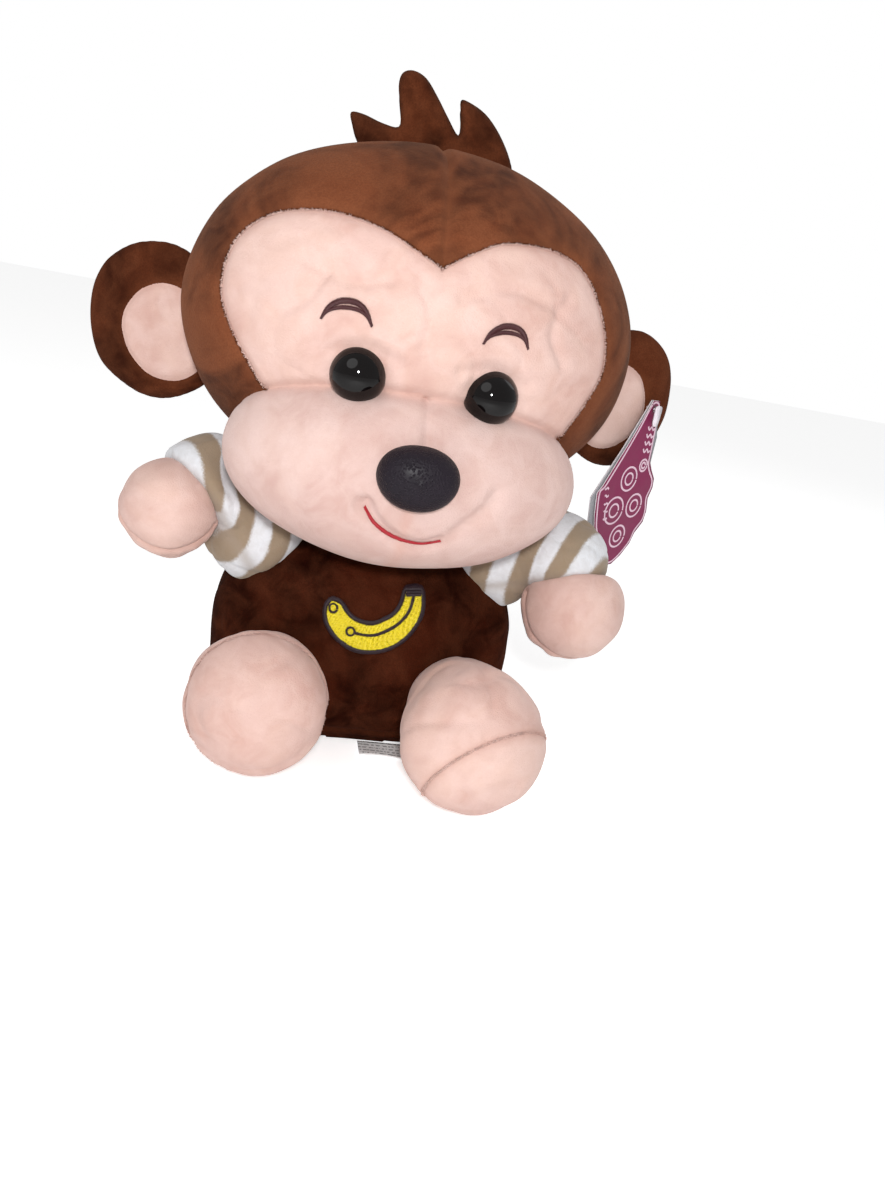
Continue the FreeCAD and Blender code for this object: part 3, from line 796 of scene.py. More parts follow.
def earSeamGap(side):
    across, ahead = earAxes(side)

    def gap(points):
        offset = points - earCentre[side]
        rim = np.hypot(offset @ across, offset[:, 2])
        return np.minimum(np.abs(offset @ ahead), np.abs(rim - earSizes["lining"]))
    return gap


def addForm(name, origin, inside, seams, far=60):
    forms[name] = {"origin": origin, "reach": reachOf(origin, inside, far), "seams": seams}


forms = {"head": {"origin": np.array(headSizes["origin"], float), "reach": headReach, "seams": headSeamGap}}
addForm("torso", np.array(torsoSizes["origin"], float), insideTorso, torsoSeamGap, 140)
for side in sides:
    def cuffGap(points, side=side):
        return np.abs(beyondCuff(side, points)[0])

    def soleSeamGap(points, side=side):
        return np.abs(soleGap(side, points))
    addForm("sleeve_" + side, shoulder[side] * 0.45 + puffCentre[side] * 0.55, insideSleeve(side), cuffGap)
    addForm("hand_" + side, handCentre[side] + handLine[side] * 1.5, insideHand(side), cuffGap)
    addForm("foot_" + side, footCentre[side] + (hip[side] - footCentre[side]) * 0.25, insideFoot(side),
            soleSeamGap, 90)
    addForm("ear_" + side, earCentre[side] - earAxes(side)[1] * 1.5, insideEar(side), earSeamGap(side))
surfaces = settleForms(forms)
print("cloth settled")


# Head: crown, back, face and muzzle panels

def seamField(*gaps):
    # 1 on a seam line, fading away from it
    return np.maximum.reduce([bump(gap, 2.2) for gap in gaps])


def makeHead():
    exact, quads, sunk = skinPoints("head", headSizes["cells"])
    flat = exact[:, [0, 2]]
    difference, mask, front = headDifference(exact), maskDistance(exact), exact[:, 1] < 0
    skull = difference < 0
    brow, cheeks, outside = front & (mask > 0) & skull, front & ~skull, skull & (mask < 0)
    backGap = exact[:, 1] - headSizes["backSeam"]
    depth = headSizes["muzzleSeam"] * bump(difference, 3.4)
    depth += np.where(skull, headSizes["maskSeam"] * bump(mask, 1.9), 0)
    depth += np.where(outside, headSizes["crownSeam"] * bump(exact[:, 0] + 1.2, 1.7), 0)
    depth += np.where(outside, 1.1 * bump(backGap, 1.8), 0)
    for sign in sides.values():
        eyeGap = np.hypot(flat[:, 0] - sign * headSizes["eye"][0], flat[:, 1] - headSizes["eye"][1])
        depth += np.where(front, headSizes["socket"] * bump(np.maximum(eyeGap - 6, 0), 4.6), 0)
        depth += np.where(front & (eyeGap < 7), 3.0, 0)
    # the mouth, its corner, the cheek's fold, and the seam down the middle of the muzzle
    corner = np.hypot(flat[:, 0] + 16, flat[:, 1] - 106.5)
    for gap, deep, width in ((polylineDistance(flat, mouthLine), 2.2, 2.2), (corner, 2.2, 3.4),
                             (polylineDistance(flat, smileFold), 1.8, 3.0)):
        depth += np.where(cheeks, deep * bump(gap, width), 0)
    depth += np.where(cheeks & (flat[:, 1] > 116), 1.5 * bump(flat[:, 0] - 1.2, 1.8), 0)
    for fold in browFolds:
        depth += np.where(brow, 1.15 * bump(polylineDistance(flat, fold), 2.1), 0)
    depth += np.where(brow & (mask > 3), 0.35 * wrinkles(exact, 17, 3.0), 0)
    depth += np.where(skull, 0.8, 0.6) * lumps(exact, 26, 5.0)
    chin = np.exp(-((flat[:, 0] - 1) / 17) ** 2 - ((flat[:, 1] - 89) / 9) ** 2)
    depth -= np.where(cheeks, 1.2 * chin, 0)
    # the middle seam moves onto the centre line behind the ears
    slant = np.where(exact[:, 1] < 30, 1.2 * np.clip((30 - exact[:, 1]) / 60, 0, 1), 0)
    placed, faces, seams = cutPanels(sunk(depth), quads, {"muzzle": difference, "mask": mask,
                                                          "middle": exact[:, 0] + slant, "back": backGap})

    def choose(mean):
        if mean["muzzle"] > 0:
            return "muzzle_panel"
        if mean["mask"] > 0:
            return "face_panel"
        half = "left" if mean["middle"] < 0 else "right"
        return ("head_back_" if mean["back"] > 0 else "crown_") + half
    crown = seams["mask"] < 0
    seam = seamField(seams["muzzle"], np.where(seams["muzzle"] < 0, seams["mask"], 50),
                     np.where(crown, seams["middle"], 50), np.where(crown, seams["back"], 50))
    pieces = {}
    for name, chosen in partFaces(faces, seams, choose).items():
        cloth = {"face_panel": pinkVelour, "muzzle_panel": muzzleVelour}.get(name, brownVelour)
        slotName = "brown_velour" if cloth == brownVelour else "pink_velour"
        nodes = [name] + ["head_stuffing"] * (name == "face_panel")
        pieces[name] = panel(name + "_cloth", placed, chosen, cloth, seam=seam)
        dress(pieces[name], "head", slotName, *nodes, fill=0.85)
    return pieces, BVHTree.FromPolygons([tuple(p) for p in placed], faces)


headPieces, headSkin = makeHead()
print("head panels made")


# Torso: front, back and seat panels

def makeTorso():
    exact, quads, sunk = skinPoints("torso", torsoSizes["cells"])
    height = exact[:, 2]
    side, seat = exact[:, 1] - torsoSizes["sideSeam"], height - torsoSizes["seatSeam"]
    depth = 1.3 * bump(side, 1.8) + 1.0 * bump(seat, 1.8) * (height > 0.5)
    depth += 0.9 * lumps(exact, 22, 11.0) + 0.5 * wrinkles(exact, 20, 9.0)
    points = sunk(depth)
    points[:, 2] = np.where(height < 0.6, 0.0, np.maximum(points[:, 2], 0.0))
    placed, faces, seams = cutPanels(points, quads, {"seat": seat, "side": side})

    def choose(mean):
        if mean["seat"] < 0:
            return "seat_panel"
        return "torso_front_panel" if mean["side"] < 0 else "torso_back_panel"
    seam = seamField(seams["seat"], np.where(seams["seat"] > 0, seams["side"], 50))
    for name, chosen in partFaces(faces, seams, choose).items():
        nodes = [name] + ["torso_stuffing"] * (name == "seat_panel")
        dress(panel(name + "_cloth", placed, chosen, bodyVelour, seam=seam), "torso", "brown_velour", *nodes,
              fill=0.8)
    return BVHTree.FromPolygons([tuple(p) for p in placed], faces)


torsoSkin = makeTorso()
print("torso panels made")


# Limbs

def makeSleeve(side):
    exact, quads, sunk = skinPoints("sleeve_" + side, sleeveSizes["cells"])
    offset = exact - shoulder[side]
    around = np.arctan2(offset[:, 2], offset[:, 1])
    cuffGap = beyondCuff(side, exact)[0]
    depth = 0.6 * bump(cuffGap, 1.6) + 0.9 * lumps(exact, 13, 21.0) + 0.6 * wrinkles(exact, 15, 6.0)
    crease = bump(offset @ armLine[side] - 14, 6)
    depth += 2.2 * np.exp(-((around + math.pi / 2) / 0.5) ** 2) * crease
    # rings lean a little as the cloth twists round the arm
    drift = offset @ ringLine[side] + 1.0 * np.sin(around * 2 + 1) + 1.2 * lumps(exact, 25, 31.0)
    piece = panel("sleeve_%s_cloth" % side, sunk(depth), quads, stripedPlush, seam=bump(cuffGap, 2.0),
                  along=drift)
    ends = [shoulder[side] + armLine[side] * distance for distance in sleeveSizes["blend"]]
    dressAcross(piece, ends, "striped_plush",
                ["sleeve_" + side, "arm_stuffing_" + side])


def makeHand(side):
    exact, quads, sunk = skinPoints("hand_" + side, handSizes["cells"])
    line = handLine[side]
    face = np.array((0.0, -0.8, 0.6))
    face -= (face @ line) * line
    face /= np.linalg.norm(face)
    edge = (exact - forms["hand_" + side]["origin"]) @ face + handSizes["seam"][side]
    inCuff = beyondCuff(side, exact)[0] < 0.6
    depth = np.where(inCuff, 0, 1.2 * bump(edge, 1.7)) + 0.8 * lumps(exact, 12, 41.0)
    depth += np.where(edge < 0, 0.8 * lumps(exact, 6, 47.0), 0)
    placed, faces, seams = cutPanels(sunk(depth), quads, {"edge": edge})
    parted = partFaces(faces, seams, lambda mean: "hand_back_" if mean["edge"] > 0 else "hand_palm_")
    cuffSeam = handCentre[side] - line * (handSizes["cuffBack"] - 1)
    for name, chosen in parted.items():
        piece = panel(name + side + "_cloth", placed, chosen, pinkVelour, seam=seamField(seams["edge"]))
        dressAcross(piece, (cuffSeam, cuffSeam + handSizes["blend"] * line),
                    "pink_velour", [name + side] + ["hand_stuffing_" + side] * (name == "hand_back_"))


def makeFoot(side):
    exact, quads, sunk = skinPoints("foot_" + side, footSizes["cells"])
    offset = exact - footCentre[side]
    sole = soleGap(side, exact)
    angle = np.arctan2(offset[:, 2], offset[:, 0])
    depth = 0.7 * bump(sole, 1.2) + 0.9 * lumps(exact, 17, 51.0) + 0.75 * wrinkles(exact, 26, 13.0)
    depth += 0.12 * bump(sole, 5) * np.cos(angle * 19 + 2 * np.sin(angle * 3))
    # the seam along the top and the bottom of the upper
    depth += np.where(sole < -8, 0.5 * bump(offset[:, 0], 1.8), 0)
    points = sunk(depth)
    points[:, 2] = np.maximum(points[:, 2], 0.3)
    placed, faces, seams = cutPanels(points, quads, {"sole": sole})
    parted = partFaces(faces, seams, lambda mean: "foot_sole_" if mean["sole"] > 0 else "foot_upper_")
    ends = (hip[side], hip[side] + (footCentre[side] - hip[side]) * footSizes["blend"])
    for name, chosen in parted.items():
        piece = panel(name + side + "_cloth", placed, chosen, pinkVelour, seam=seamField(seams["sole"]))
        dressAcross(piece, ends, "pink_velour",
                    [name + side] + ["foot_stuffing_" + side] * (name == "foot_upper_"))


def makeEar(side):
    across, ahead = earAxes(side)
    exact, quads, sunk = skinPoints("ear_" + side, earSizes["cells"])
    offset = exact - earCentre[side]
    lining = earSizes["lining"] - np.hypot(offset @ across + 7.0, offset[:, 2] * 0.95 + 3.5)
    lining = np.where(offset @ ahead > 0, lining, -np.abs(lining) - 1)
    points = sunk(0.6 * lumps(exact, 14, 61.0)) - np.outer(bump(lining, 1.5), ahead)
    placed, faces, seams = cutPanels(points, quads, {"lining": lining})
    parted = partFaces(faces, seams, lambda mean: "ear_lining_" if mean["lining"] > 0 else "ear_shell_")
    root = pivot("ear_%s_fold" % side)
    ends = [root + across * distance for distance in earSizes["blend"]]
    for name, chosen in parted.items():
        cloth, slotName = {"ear_lining_": (pinkVelour, "pink_velour")}.get(name, (earVelour, "brown_velour"))
        piece = panel(name + side + "_cloth", placed, chosen, cloth, seam=seamField(seams["lining"]))
        dressAcross(piece, ends, slotName, [name + side])


for side in sides:
    makeSleeve(side)
    makeHand(side)
    makeFoot(side)
    makeEar(side)
print("limbs and ears made")


# Neck: one brown sleeve of cloth between the torso and the head

def makeNeck():
    low, high = boxOf("neck_stuffing")
    middle = (low + high) / 2
    sizes = {"halves": (31, 26, 17), "rows": 28, "around": 96, "ripple": 0.012, "ripples": 13}
    points = []
    for lift in np.linspace(-math.pi / 2, math.pi / 2, sizes["rows"] + 1):
        for turn in np.arange(sizes["around"]) * 2 * math.pi / sizes["around"]:
            ripple = sizes["ripple"] * math.cos(sizes["ripples"] * turn + math.sin(3 * turn))
            ring = math.cos(lift) * (1 + ripple)
            points.append(middle + np.array((ring * math.cos(turn), ring * math.sin(turn), math.sin(lift)))
                          * sizes["halves"])
    piece = meshPiece("neck_cloth", points, tubeQuads(sizes["rows"] + 1, sizes["around"]), bodyVelour)
    editMesh(piece, lambda mesh: bmesh.ops.remove_doubles(mesh, verts=mesh.verts, dist=0.01 * mm))
    dress(piece, "neck", "brown_velour", "neck_stuffing", fill=0.7)


makeNeck()


# Tuft: two spiked pillows of pile on top of the head

tuftOutline = [(-25, 214), (-30.2, 219.4), (-32.6, 224.1), (-33.7, 228.3), (-29, 228.6), (-22.3, 227.2),
               (-16.2, 227.2), (-16.6, 232.7), (-18.4, 240), (-17.6, 244.3), (-13.9, 245.8), (-9, 244.3),
               (-4, 239.4), (0.8, 233.8), (5.6, 228.8), (5.4, 234.6), (4.4, 239.8), (7.2, 240.2),
               (14.2, 237.6), (20.7, 232.1), (26.2, 224.7), (27.9, 219), (26, 213)]
tuftSizes = {"y": 10.0, "thick": 3.4 * 0.62, "rounding": 7.0, "grid": 1.6, "spikes": 228, "blend": 8}


def makePillow(name, outline, y, material):
    # a filled outline, raised towards its middle on both sides
    rim = smoothLine(outline, 4, closed=True)[:-1]
    turn = 0.5 * sum(a[0] * b[1] - b[0] * a[1] for a, b in zip(rim, np.roll(rim, -1, axis=0)))
    if turn < 0:
        rim = rim[::-1]
    step = tuftSizes["grid"]
    xs = np.arange(rim[:, 0].min(), rim[:, 0].max(), step)
    zs = np.arange(rim[:, 1].min(), rim[:, 1].max(), step)
    grid = np.array([(a, b) for a in xs for b in zs])
    closed = np.vstack([rim, rim[:1]])
    grid = grid[insideOutline(grid, rim) & (polylineDistance(grid, closed) > step * 0.6)]
    flat = [Vector(p) for p in np.vstack([rim, grid])]
    edges = [(i, (i + 1) % len(rim)) for i in range(len(rim))]
    verts, _, faces, *_ = geometry.delaunay_2d_cdt(flat, edges, [], 1, 0.001)
    flat = np.array([tuple(v) for v in verts])
    gap = polylineDistance(flat, closed)
    rise = tuftSizes["thick"] * np.sqrt(1 - (1 - np.clip(gap / tuftSizes["rounding"], 0, 1)) ** 2)
    rise *= 1 + 0.15 * lumps(np.column_stack([flat, flat[:, 0] * 0]), 9, 71.0)
    onRim = gap < 0.01
    points = np.vstack([np.column_stack([flat[:, 0], y + turned * rise, flat[:, 1]]) for turned in (-1, 1)])
    joined = np.arange(len(flat)) + len(flat)
    joined[onRim] = np.where(onRim)[0]
    bothSides = [list(f) for f in faces] + [[int(joined[i]) for i in reversed(f)] for f in faces]
    return panel(name, points, bothSides, material, seam=bump(np.concatenate([gap, gap]), 1.2) * 0.6)


def makeTuft():
    root = pivot("tuft_flex")
    for word, shift, lean in (("front", -1.9, 0), ("back", 2.0, 2.5)):
        outline = [(x + lean * 0.4, z - (lean if z > tuftSizes["spikes"] else 0)) for x, z in tuftOutline]
        piece = makePillow("tuft_%s_cloth" % word, outline, tuftSizes["y"] + shift, earVelour)
        dressAcross(piece, ((0, 0, root[2]), (0, 0, root[2] + tuftSizes["blend"])),
                    "brown_velour", ["tuft_" + word])


makeTuft()
print("neck and tuft made")


# Eyes, nose and washers

def makeBall(name, centre, halves, material, rows=32, around=56, shape=None):
    points = [(centre[0], centre[1] + halves[1], centre[2])]
    for i in range(1, rows):
        lift = math.pi / 2 - math.pi * i / rows
        for k in range(around):
            turn = 2 * math.pi * k / around
            p = np.array((math.cos(lift) * math.cos(turn), math.sin(lift), math.cos(lift) * math.sin(turn)))
            points.append(centre + (shape(p) if shape else p) * halves)
    points.append((centre[0], centre[1] - halves[1], centre[2]))
    last = len(points) - 1
    faces = tubeQuads(rows - 1, around, 1)
    for k in range(around):
        n = (k + 1) % around
        faces += [(0, 1 + n, 1 + k), (last, last - around + k, last - around + n)]
    piece = meshPiece(name, points, faces, material)
    editMesh(piece, faceOutwards)
    return piece


eyeSizes = {"radius": 9.3, "centre": (22.2, -55.9, 145.4)}
noseSizes = {"centre": (0, -75, 118.7), "halves": (13.5, 10.5, 10.5)}


def noseShape(p):
    # broad on top, a little narrower and flatter below, and flattened in front
    x, y, z = p
    if z < 0:
        x *= 1 + 0.10 * z
    if y < 0:
        y *= 1 - 0.10 * (1 - x * x - z * z)
    return np.array([math.copysign(abs(x) ** 0.92, x), y, math.copysign(abs(z) ** 0.92, z)])


for side, sign in sides.items():
    centre = np.array(eyeSizes["centre"]) * (sign, 1, 1)
    eye = makeBall("eye_%s_dome" % side, centre, np.full(3, eyeSizes["radius"]), eyeGloss)
    dress(eye, "head", "eye_plastic", "eye_" + side)
nose = makeBall("nose_pebbled", np.array(noseSizes["centre"], float), np.array(noseSizes["halves"]),
                noseLeather, 40, 72, noseShape)
dress(nose, "head", "nose_plastic", "nose")
for node in ("eye_washer_left", "eye_washer_right", "nose_washer"):
    for held in bpy.data.objects[node].material_slots:
        held.material = washerPlastic
print("face plastic made")


# Stitching: threads laid across a path on the cloth, by Geometry Nodes

def projectFront(skin, flat, lift):
    # drops (x, z) points onto the cloth from in front
    points, normals = [], []
    for x, z in flat:
        hit, normal, _, _ = skin.ray_cast(Vector((x, -200, z)), Vector((0, 1, 0)))
        if hit is None:
            hit, normal = Vector((x, -60, z)), Vector((0, -1, 0))
        if normal.y > 0:
            normal = -normal
        points.append(hit + normal * lift)
        normals.append(normal)
    return points, normals


def makeThreadTree():
    # every loose edge becomes one bowed thread
    tree = bpy.data.node_groups.new("sewnThreads", "GeometryNodeTree")
    add = tree.interface.new_socket
    add("Geometry", in_out="INPUT", socket_type="NodeSocketGeometry")
    for name, value in (("Thread Radius", 0.0002), ("Bow", 0.12), ("Tip", 0.4)):
        add(name, in_out="INPUT", socket_type="NodeSocketFloat").default_value = value
    add("Steps", in_out="INPUT", socket_type="NodeSocketInt").default_value = 5
    add("Sides", in_out="INPUT", socket_type="NodeSocketInt").default_value = 5
    add("Material", in_out="INPUT", socket_type="NodeSocketMaterial")
    add("Geometry", in_out="OUTPUT", socket_type="NodeSocketGeometry")
    node, link = tree.nodes.new, tree.links.new
    given, result = node("NodeGroupInput"), node("NodeGroupOutput")
    curve, even = node("GeometryNodeMeshToCurve"), node("GeometryNodeResampleCurve")
    link(given.outputs["Geometry"], curve.inputs["Mesh"])
    link(curve.outputs["Curve"], even.inputs["Curve"])
    link(given.outputs["Steps"], even.inputs["Count"])
    along, rise = node("GeometryNodeSplineParameter"), node("GeometryNodeInputNamedAttribute")
    rise.data_type = "FLOAT_VECTOR"
    rise.inputs["Name"].default_value = "rise"
    arch = mathNode(tree, "SINE", mathNode(tree, "MULTIPLY", along.outputs["Factor"], math.pi))
    scaled = node("ShaderNodeVectorMath")
    scaled.operation = "SCALE"
    link(rise.outputs["Attribute"], scaled.inputs[0])
    link(mathNode(tree, "MULTIPLY", arch, given.outputs["Bow"]), scaled.inputs["Scale"])
    moved = node("GeometryNodeSetPosition")
    link(even.outputs["Curve"], moved.inputs["Geometry"])
    link(scaled.outputs["Vector"], moved.inputs["Offset"])
    sized = node("GeometryNodeSetCurveRadius")
    link(moved.outputs["Geometry"], sized.inputs["Curve"])
    rootArch = mathNode(tree, "POWER", arch, 0.4)
    spare = mathNode(tree, "SUBTRACT", 1.0, given.outputs["Tip"])
    link(mathNode(tree, "ADD", mathNode(tree, "MULTIPLY", rootArch, spare), given.outputs["Tip"]),
         sized.inputs["Radius"])
    ring, tube = node("GeometryNodeCurvePrimitiveCircle"), node("GeometryNodeCurveToMesh")
    link(given.outputs["Sides"], ring.inputs["Resolution"])
    link(given.outputs["Thread Radius"], ring.inputs["Radius"])
    link(sized.outputs["Curve"], tube.inputs["Curve"])
    link(ring.outputs["Curve"], tube.inputs["Profile Curve"])
    tube.inputs["Fill Caps"].default_value = True
    if "Scale" in tube.inputs:
        link(node("GeometryNodeInputRadius").outputs["Radius"], tube.inputs["Scale"])
    whole, paint = node("GeometryNodeRealizeInstances"), node("GeometryNodeSetMaterial")
    link(tube.outputs["Mesh"], whole.inputs["Geometry"])
    link(whole.outputs["Geometry"], paint.inputs["Geometry"])
    link(given.outputs["Material"], paint.inputs["Material"])
    link(paint.outputs["Geometry"], result.inputs["Geometry"])
    return tree


threadTree = makeThreadTree()


def sewThreads(name, body, slotName, material, rows, replaced=(), **sizes):
    # rows of (start, end, direction the thread bows towards), in millimetres
    mesh = bpy.data.meshes.new(name)
    ends = [tuple(Vector(p) * mm) for start, end, _ in rows for p in (start, end)]
    mesh.from_pydata(ends, [(2 * i, 2 * i + 1) for i in range(len(rows))], [])
    rise = mesh.attributes.new("rise", "FLOAT_VECTOR", "POINT")
    lifts = [Vector(n).normalized() * (Vector(b) - Vector(a)).length * mm
             for a, b, n in rows for _ in (0, 1)]
    rise.data.foreach_set("vector", [c for lift in lifts for c in lift])
    rough = bpy.data.objects.new(name + "Rows", mesh)
    bpy.context.scene.collection.objects.link(rough)
    sewing = rough.modifiers.new("threads", "NODES")
    sewing.node_group = threadTree
    sockets = {item.name: item.identifier for item in threadTree.interface.items_tree
               if item.in_out == "INPUT"}
    for label, value in sizes.items():
        sewing[sockets["Thread Radius" if label == "radius" else label.title()]] = value
    sewing[sockets["Material"]] = material
    bpy.context.view_layer.update()
    made = bpy.data.meshes.new_from_object(rough.evaluated_get(bpy.context.evaluated_depsgraph_get()))
    bpy.data.objects.remove(rough)
    if not made.materials:
        made.materials.append(material)
    made.shade_smooth()
    made.name = name
    piece = bpy.data.objects.new(name, made)
    bpy.context.scene.collection.objects.link(piece)
    return dress(piece, body, slotName, *replaced)


def evenly(line, spacing):
    # points an even distance apart on a polyline, and the way it runs at each
    line = np.array(line, float)
    lengths = np.concatenate([[0], np.cumsum(np.linalg.norm(np.diff(line, axis=0), axis=1))])
    marks = np.arange(0, lengths[-1], spacing)

    def along(places):
        return np.column_stack([np.interp(places, lengths, column) for column in line.T])
    run = along(np.minimum(marks + 0.4, lengths[-1])) - along(np.maximum(marks - 0.4, 0))
    return along(marks), run / np.linalg.norm(run, axis=1)[:, None], marks / lengths[-1]


def satinLine(skin, line, width, spacing, lift, slant=0.25, shift=0.0, seed=1):
    # threads laid side by side across a line; width is a number or a function of the share along
    jitter = np.random.default_rng(seed)
    points, run, share = evenly(line, spacing)
    rows = []
    for p, r, s in zip(points, run, share):
        across = np.array((-r[1], r[0]))
        wide = width(s) if callable(width) else width
        wide = wide * (1 + jitter.uniform(-0.06, 0.06))
        middle = p + across * shift
        ends = [middle - (across - slant * r) * wide / 2, middle + (across - slant * r) * wide / 2]
        placed, normals = projectFront(skin, ends, lift)
        rows.append((placed[0], placed[1], normals[0] + normals[1]))
    return rows


def satinFill(skin, outline, angle, spacing, lift, stitch=3.2, seed=2):
    # parallel threads that fill an outline, broken into stitches
    jitter = np.random.default_rng(seed)
    run = np.array((math.cos(angle), math.sin(angle)))
    across = np.array((-run[1], run[0]))
    flat = np.array(outline)
    marks = flat @ across
    rows = []
    for k, mark in enumerate(np.arange(marks.min(), marks.max(), spacing)):
        cuts = []
        for a, b in zip(flat, np.roll(flat, -1, axis=0)):
            sa, sb = a @ across - mark, b @ across - mark
            if (sa > 0) != (sb > 0):
                cuts.append((a + (b - a) * sa / (sa - sb)) @ run)
        cuts.sort()
        for low, high in zip(cuts[::2], cuts[1::2]):
            stops = [low]
            stop = low + stitch * (0.35 + 0.65 * ((k * 0.37) % 1))
            while stop < high - 0.6:
                stops.append(stop + jitter.uniform(-0.25, 0.25))
                stop += stitch
            stops.append(high)
            for a, b in zip(stops, stops[1:]):
                wander = jitter.uniform(-0.12, 0.12)
                ends = [across * (mark + wander) + run * a, across * (mark - wander) + run * b]
                placed, normals = projectFront(skin, ends, lift)
                rows.append((placed[0], placed[1], normals[0] + normals[1]))
    return rows


def swell(thin, more):
    # a width that grows from thin by more at the middle of a line
    return lambda share: thin + more * math.sin(math.pi * share)


# Brows and mouth

browLines = {"left": [(-36.2, 160.6), (-34.3, 164.4), (-30.8, 166.9), (-26.3, 167.3), (-23, 165.4),
                      (-20.5, 161.2)],
             "right": [(15.1, 162.2), (17.1, 165.9), (21.2, 168.5), (25.7, 168.7), (28.7, 166.8),
                       (30.7, 163)]}
for side, line in browLines.items():
    arc = smoothLine(line, 8)
    inner = smoothLine([(x, z - 2.0 * math.sin(math.pi * i / 5)) for i, (x, z) in enumerate(line)], 8)
    rows = satinLine(headSkin, arc, swell(0.8, 1.2), 0.28, 0.25, 0.5)
    rows += satinLine(headSkin, inner[4:-3], swell(0.6, 0.8), 0.28, 0.25, 0.5, seed=3)
    sewThreads("brow_%s_satin" % side, "head", "brow_thread", maroonThread, rows, ("brow_" + side,),
               radius=0.00019, bow=0.16)
smile = smoothLine([(-15.0, 106.2), (-11.2, 101.6), (-5.8, 98.2), (0.4, 96.4), (6.4, 96.2), (12.2, 98.0)], 8)
smileWidth = swell(0.9, 0.5)
rows = satinLine(headSkin, smile, lambda share: smileWidth(min(1, share * 1.1)), 0.28, 0.3, 0.35, seed=4)
sewThreads("mouth_satin", "head", "mouth_thread", redThread, rows, ("mouth_stitch",), radius=0.0002, bow=0.2)

# The embroidered banana

bananaSizes = {"spacing": 0.42, "angle": 0.62, "outline": 1.8, "inner": 1.3, "ringRadius": 1.5}
bananaEdge = smoothLine([(-19.2, 59.2), (-17.8, 60.9), (-14.5, 60.2), (-11.7, 57.3), (-8.6, 55.2),
                         (-3.7, 54.2),
                         (0.9, 55.3), (5.2, 58.2), (7.6, 61.7), (8.6, 65.3), (9.4, 67.2), (15.0, 67.9),
                         (16.3, 64.5), (16.3, 59.3), (14.5, 54.3), (11.4, 49.6), (7.1, 45.9), (1.7, 43.6),
                         (-4.9, 43.1), (-10.9, 44.8), (-15.5, 48), (-18.8, 52.2), (-19.9, 56.3)],
                        4, closed=True)[:-1]
bananaFold = smoothLine([(-8, 50.2), (-4.9, 49.5), (-0.2, 49.8), (4.2, 52.1), (8.5, 55.8), (11.4, 60.4),
                         (12.6, 66)], 5)
rows = satinFill(torsoSkin, bananaEdge, bananaSizes["angle"] + 1.3, 0.5, 0.1, seed=9)
rows += satinFill(torsoSkin, bananaEdge, bananaSizes["angle"], bananaSizes["spacing"], 0.42, stitch=2.2)
sewThreads("banana_fill_satin", "torso", "banana_thread", yellowThread, rows, ("banana_fill",),
           radius=0.00028, bow=0.10, steps=4)
bananaLoop = np.vstack([bananaEdge, bananaEdge[:1]])
rows = satinLine(torsoSkin, bananaLoop, bananaSizes["outline"], 0.34, 0.75, 0.3, seed=5)
rows += satinLine(torsoSkin, bananaFold, bananaSizes["inner"], 0.34, 0.85, 0.3, seed=6)
for middle in ((-9.6, 50.4), (-16.9, 57.6)):
    rows += satinLine(torsoSkin, circle(middle, bananaSizes["ringRadius"], 20), 0.9, 0.34, 0.9, 0.2, seed=7)
for shift in (-0.9, 0.0, 0.9):
    rows += satinLine(torsoSkin, [(9.6, 66.2 + shift), (15.2, 66.8 + shift)], 1.3, 0.34, 0.9, 0.2, seed=8)
sewThreads("banana_outline_satin", "torso", "outline_thread", darkThread, rows, ("banana_outline",),
           radius=0.00024, bow=0.15)
print("embroidery sewn")


# Pile that stands over the seams of the face and the soles

pileSizes = {"spread": 0.6, "bow": 0.12, "tip": 0.25, "face": {"density": 10.0, "radius": 0.00011},
             "sole": {"density": 8.0, "radius": 0.00012}}


def makePile(name, piece, body, cloth, slotName, keep, lean, length, seed, density, radius):
    # short fibres rooted on the open edge of a panel; lean is 1 over the panel, -1 over its neighbour
    mesh = bmesh.new()
    mesh.from_mesh(piece.data)
    mesh.normal_update()
    chance = np.random.default_rng(seed)
    rows = []
    for edge in mesh.edges:
        a, b = (vert.co / mm for vert in edge.verts)
        middle = (a + b) / 2
        if len(edge.link_faces) != 1 or not keep(middle):
            continue
        face = edge.link_faces[0]
        inward = face.calc_center_median() / mm - middle
        inward -= inward.project(b - a)
        inward.normalize()
        for _ in range(chance.poisson((b - a).length * density)):
            t, out = chance.uniform(0, 1), chance.uniform(0.4, 1.0)
            root = a.lerp(b, t) + face.normal * 0.1 - inward * 0.5 * lean
            aside = (b - a).normalized() * chance.uniform(-pileSizes["spread"], pileSizes["spread"])
            tilt = inward * (lean * chance.uniform(0.1, 0.9))
            tip = root + (tilt + aside + face.normal * chance.uniform(0.5, 1.0)) * length * out
            rows.append((root, tip, face.normal.copy()))
    mesh.free()
    sewThreads(name, body, slotName, cloth, rows, radius=radius, bow=pileSizes["bow"], tip=pileSizes["tip"],
               steps=3, sides=3)


def onMask(point):
    # true on the face's seam with the crown, false where the face meets the muzzle
    return maskDistance(np.array([point]))[0] < 4


makePile("face_edge_pile", headPieces["face_panel"], "head", brownVelour, "brown_velour", onMask, 1, 1.3, 11,
         **pileSizes["face"])
makePile("face_rim_pile", headPieces["face_panel"], "head", pinkVelour, "pink_velour", onMask, -1, 1.0, 12,
         **pileSizes["face"])
for side in sides:
    sole = bpy.data.objects["foot_sole_%s_cloth" % side]
    for name, lean, seed in (("foot_%s_sole_pile", 1, 13), ("foot_%s_upper_pile", -1, 15)):
        makePile(name % side, sole, "foot_" + side, pinkVelour, "pink_velour", lambda point: True, lean, 1.1,
                 seed, **pileSizes["sole"])
print("edge pile made")


# Sewn-in care label and the hanging tag

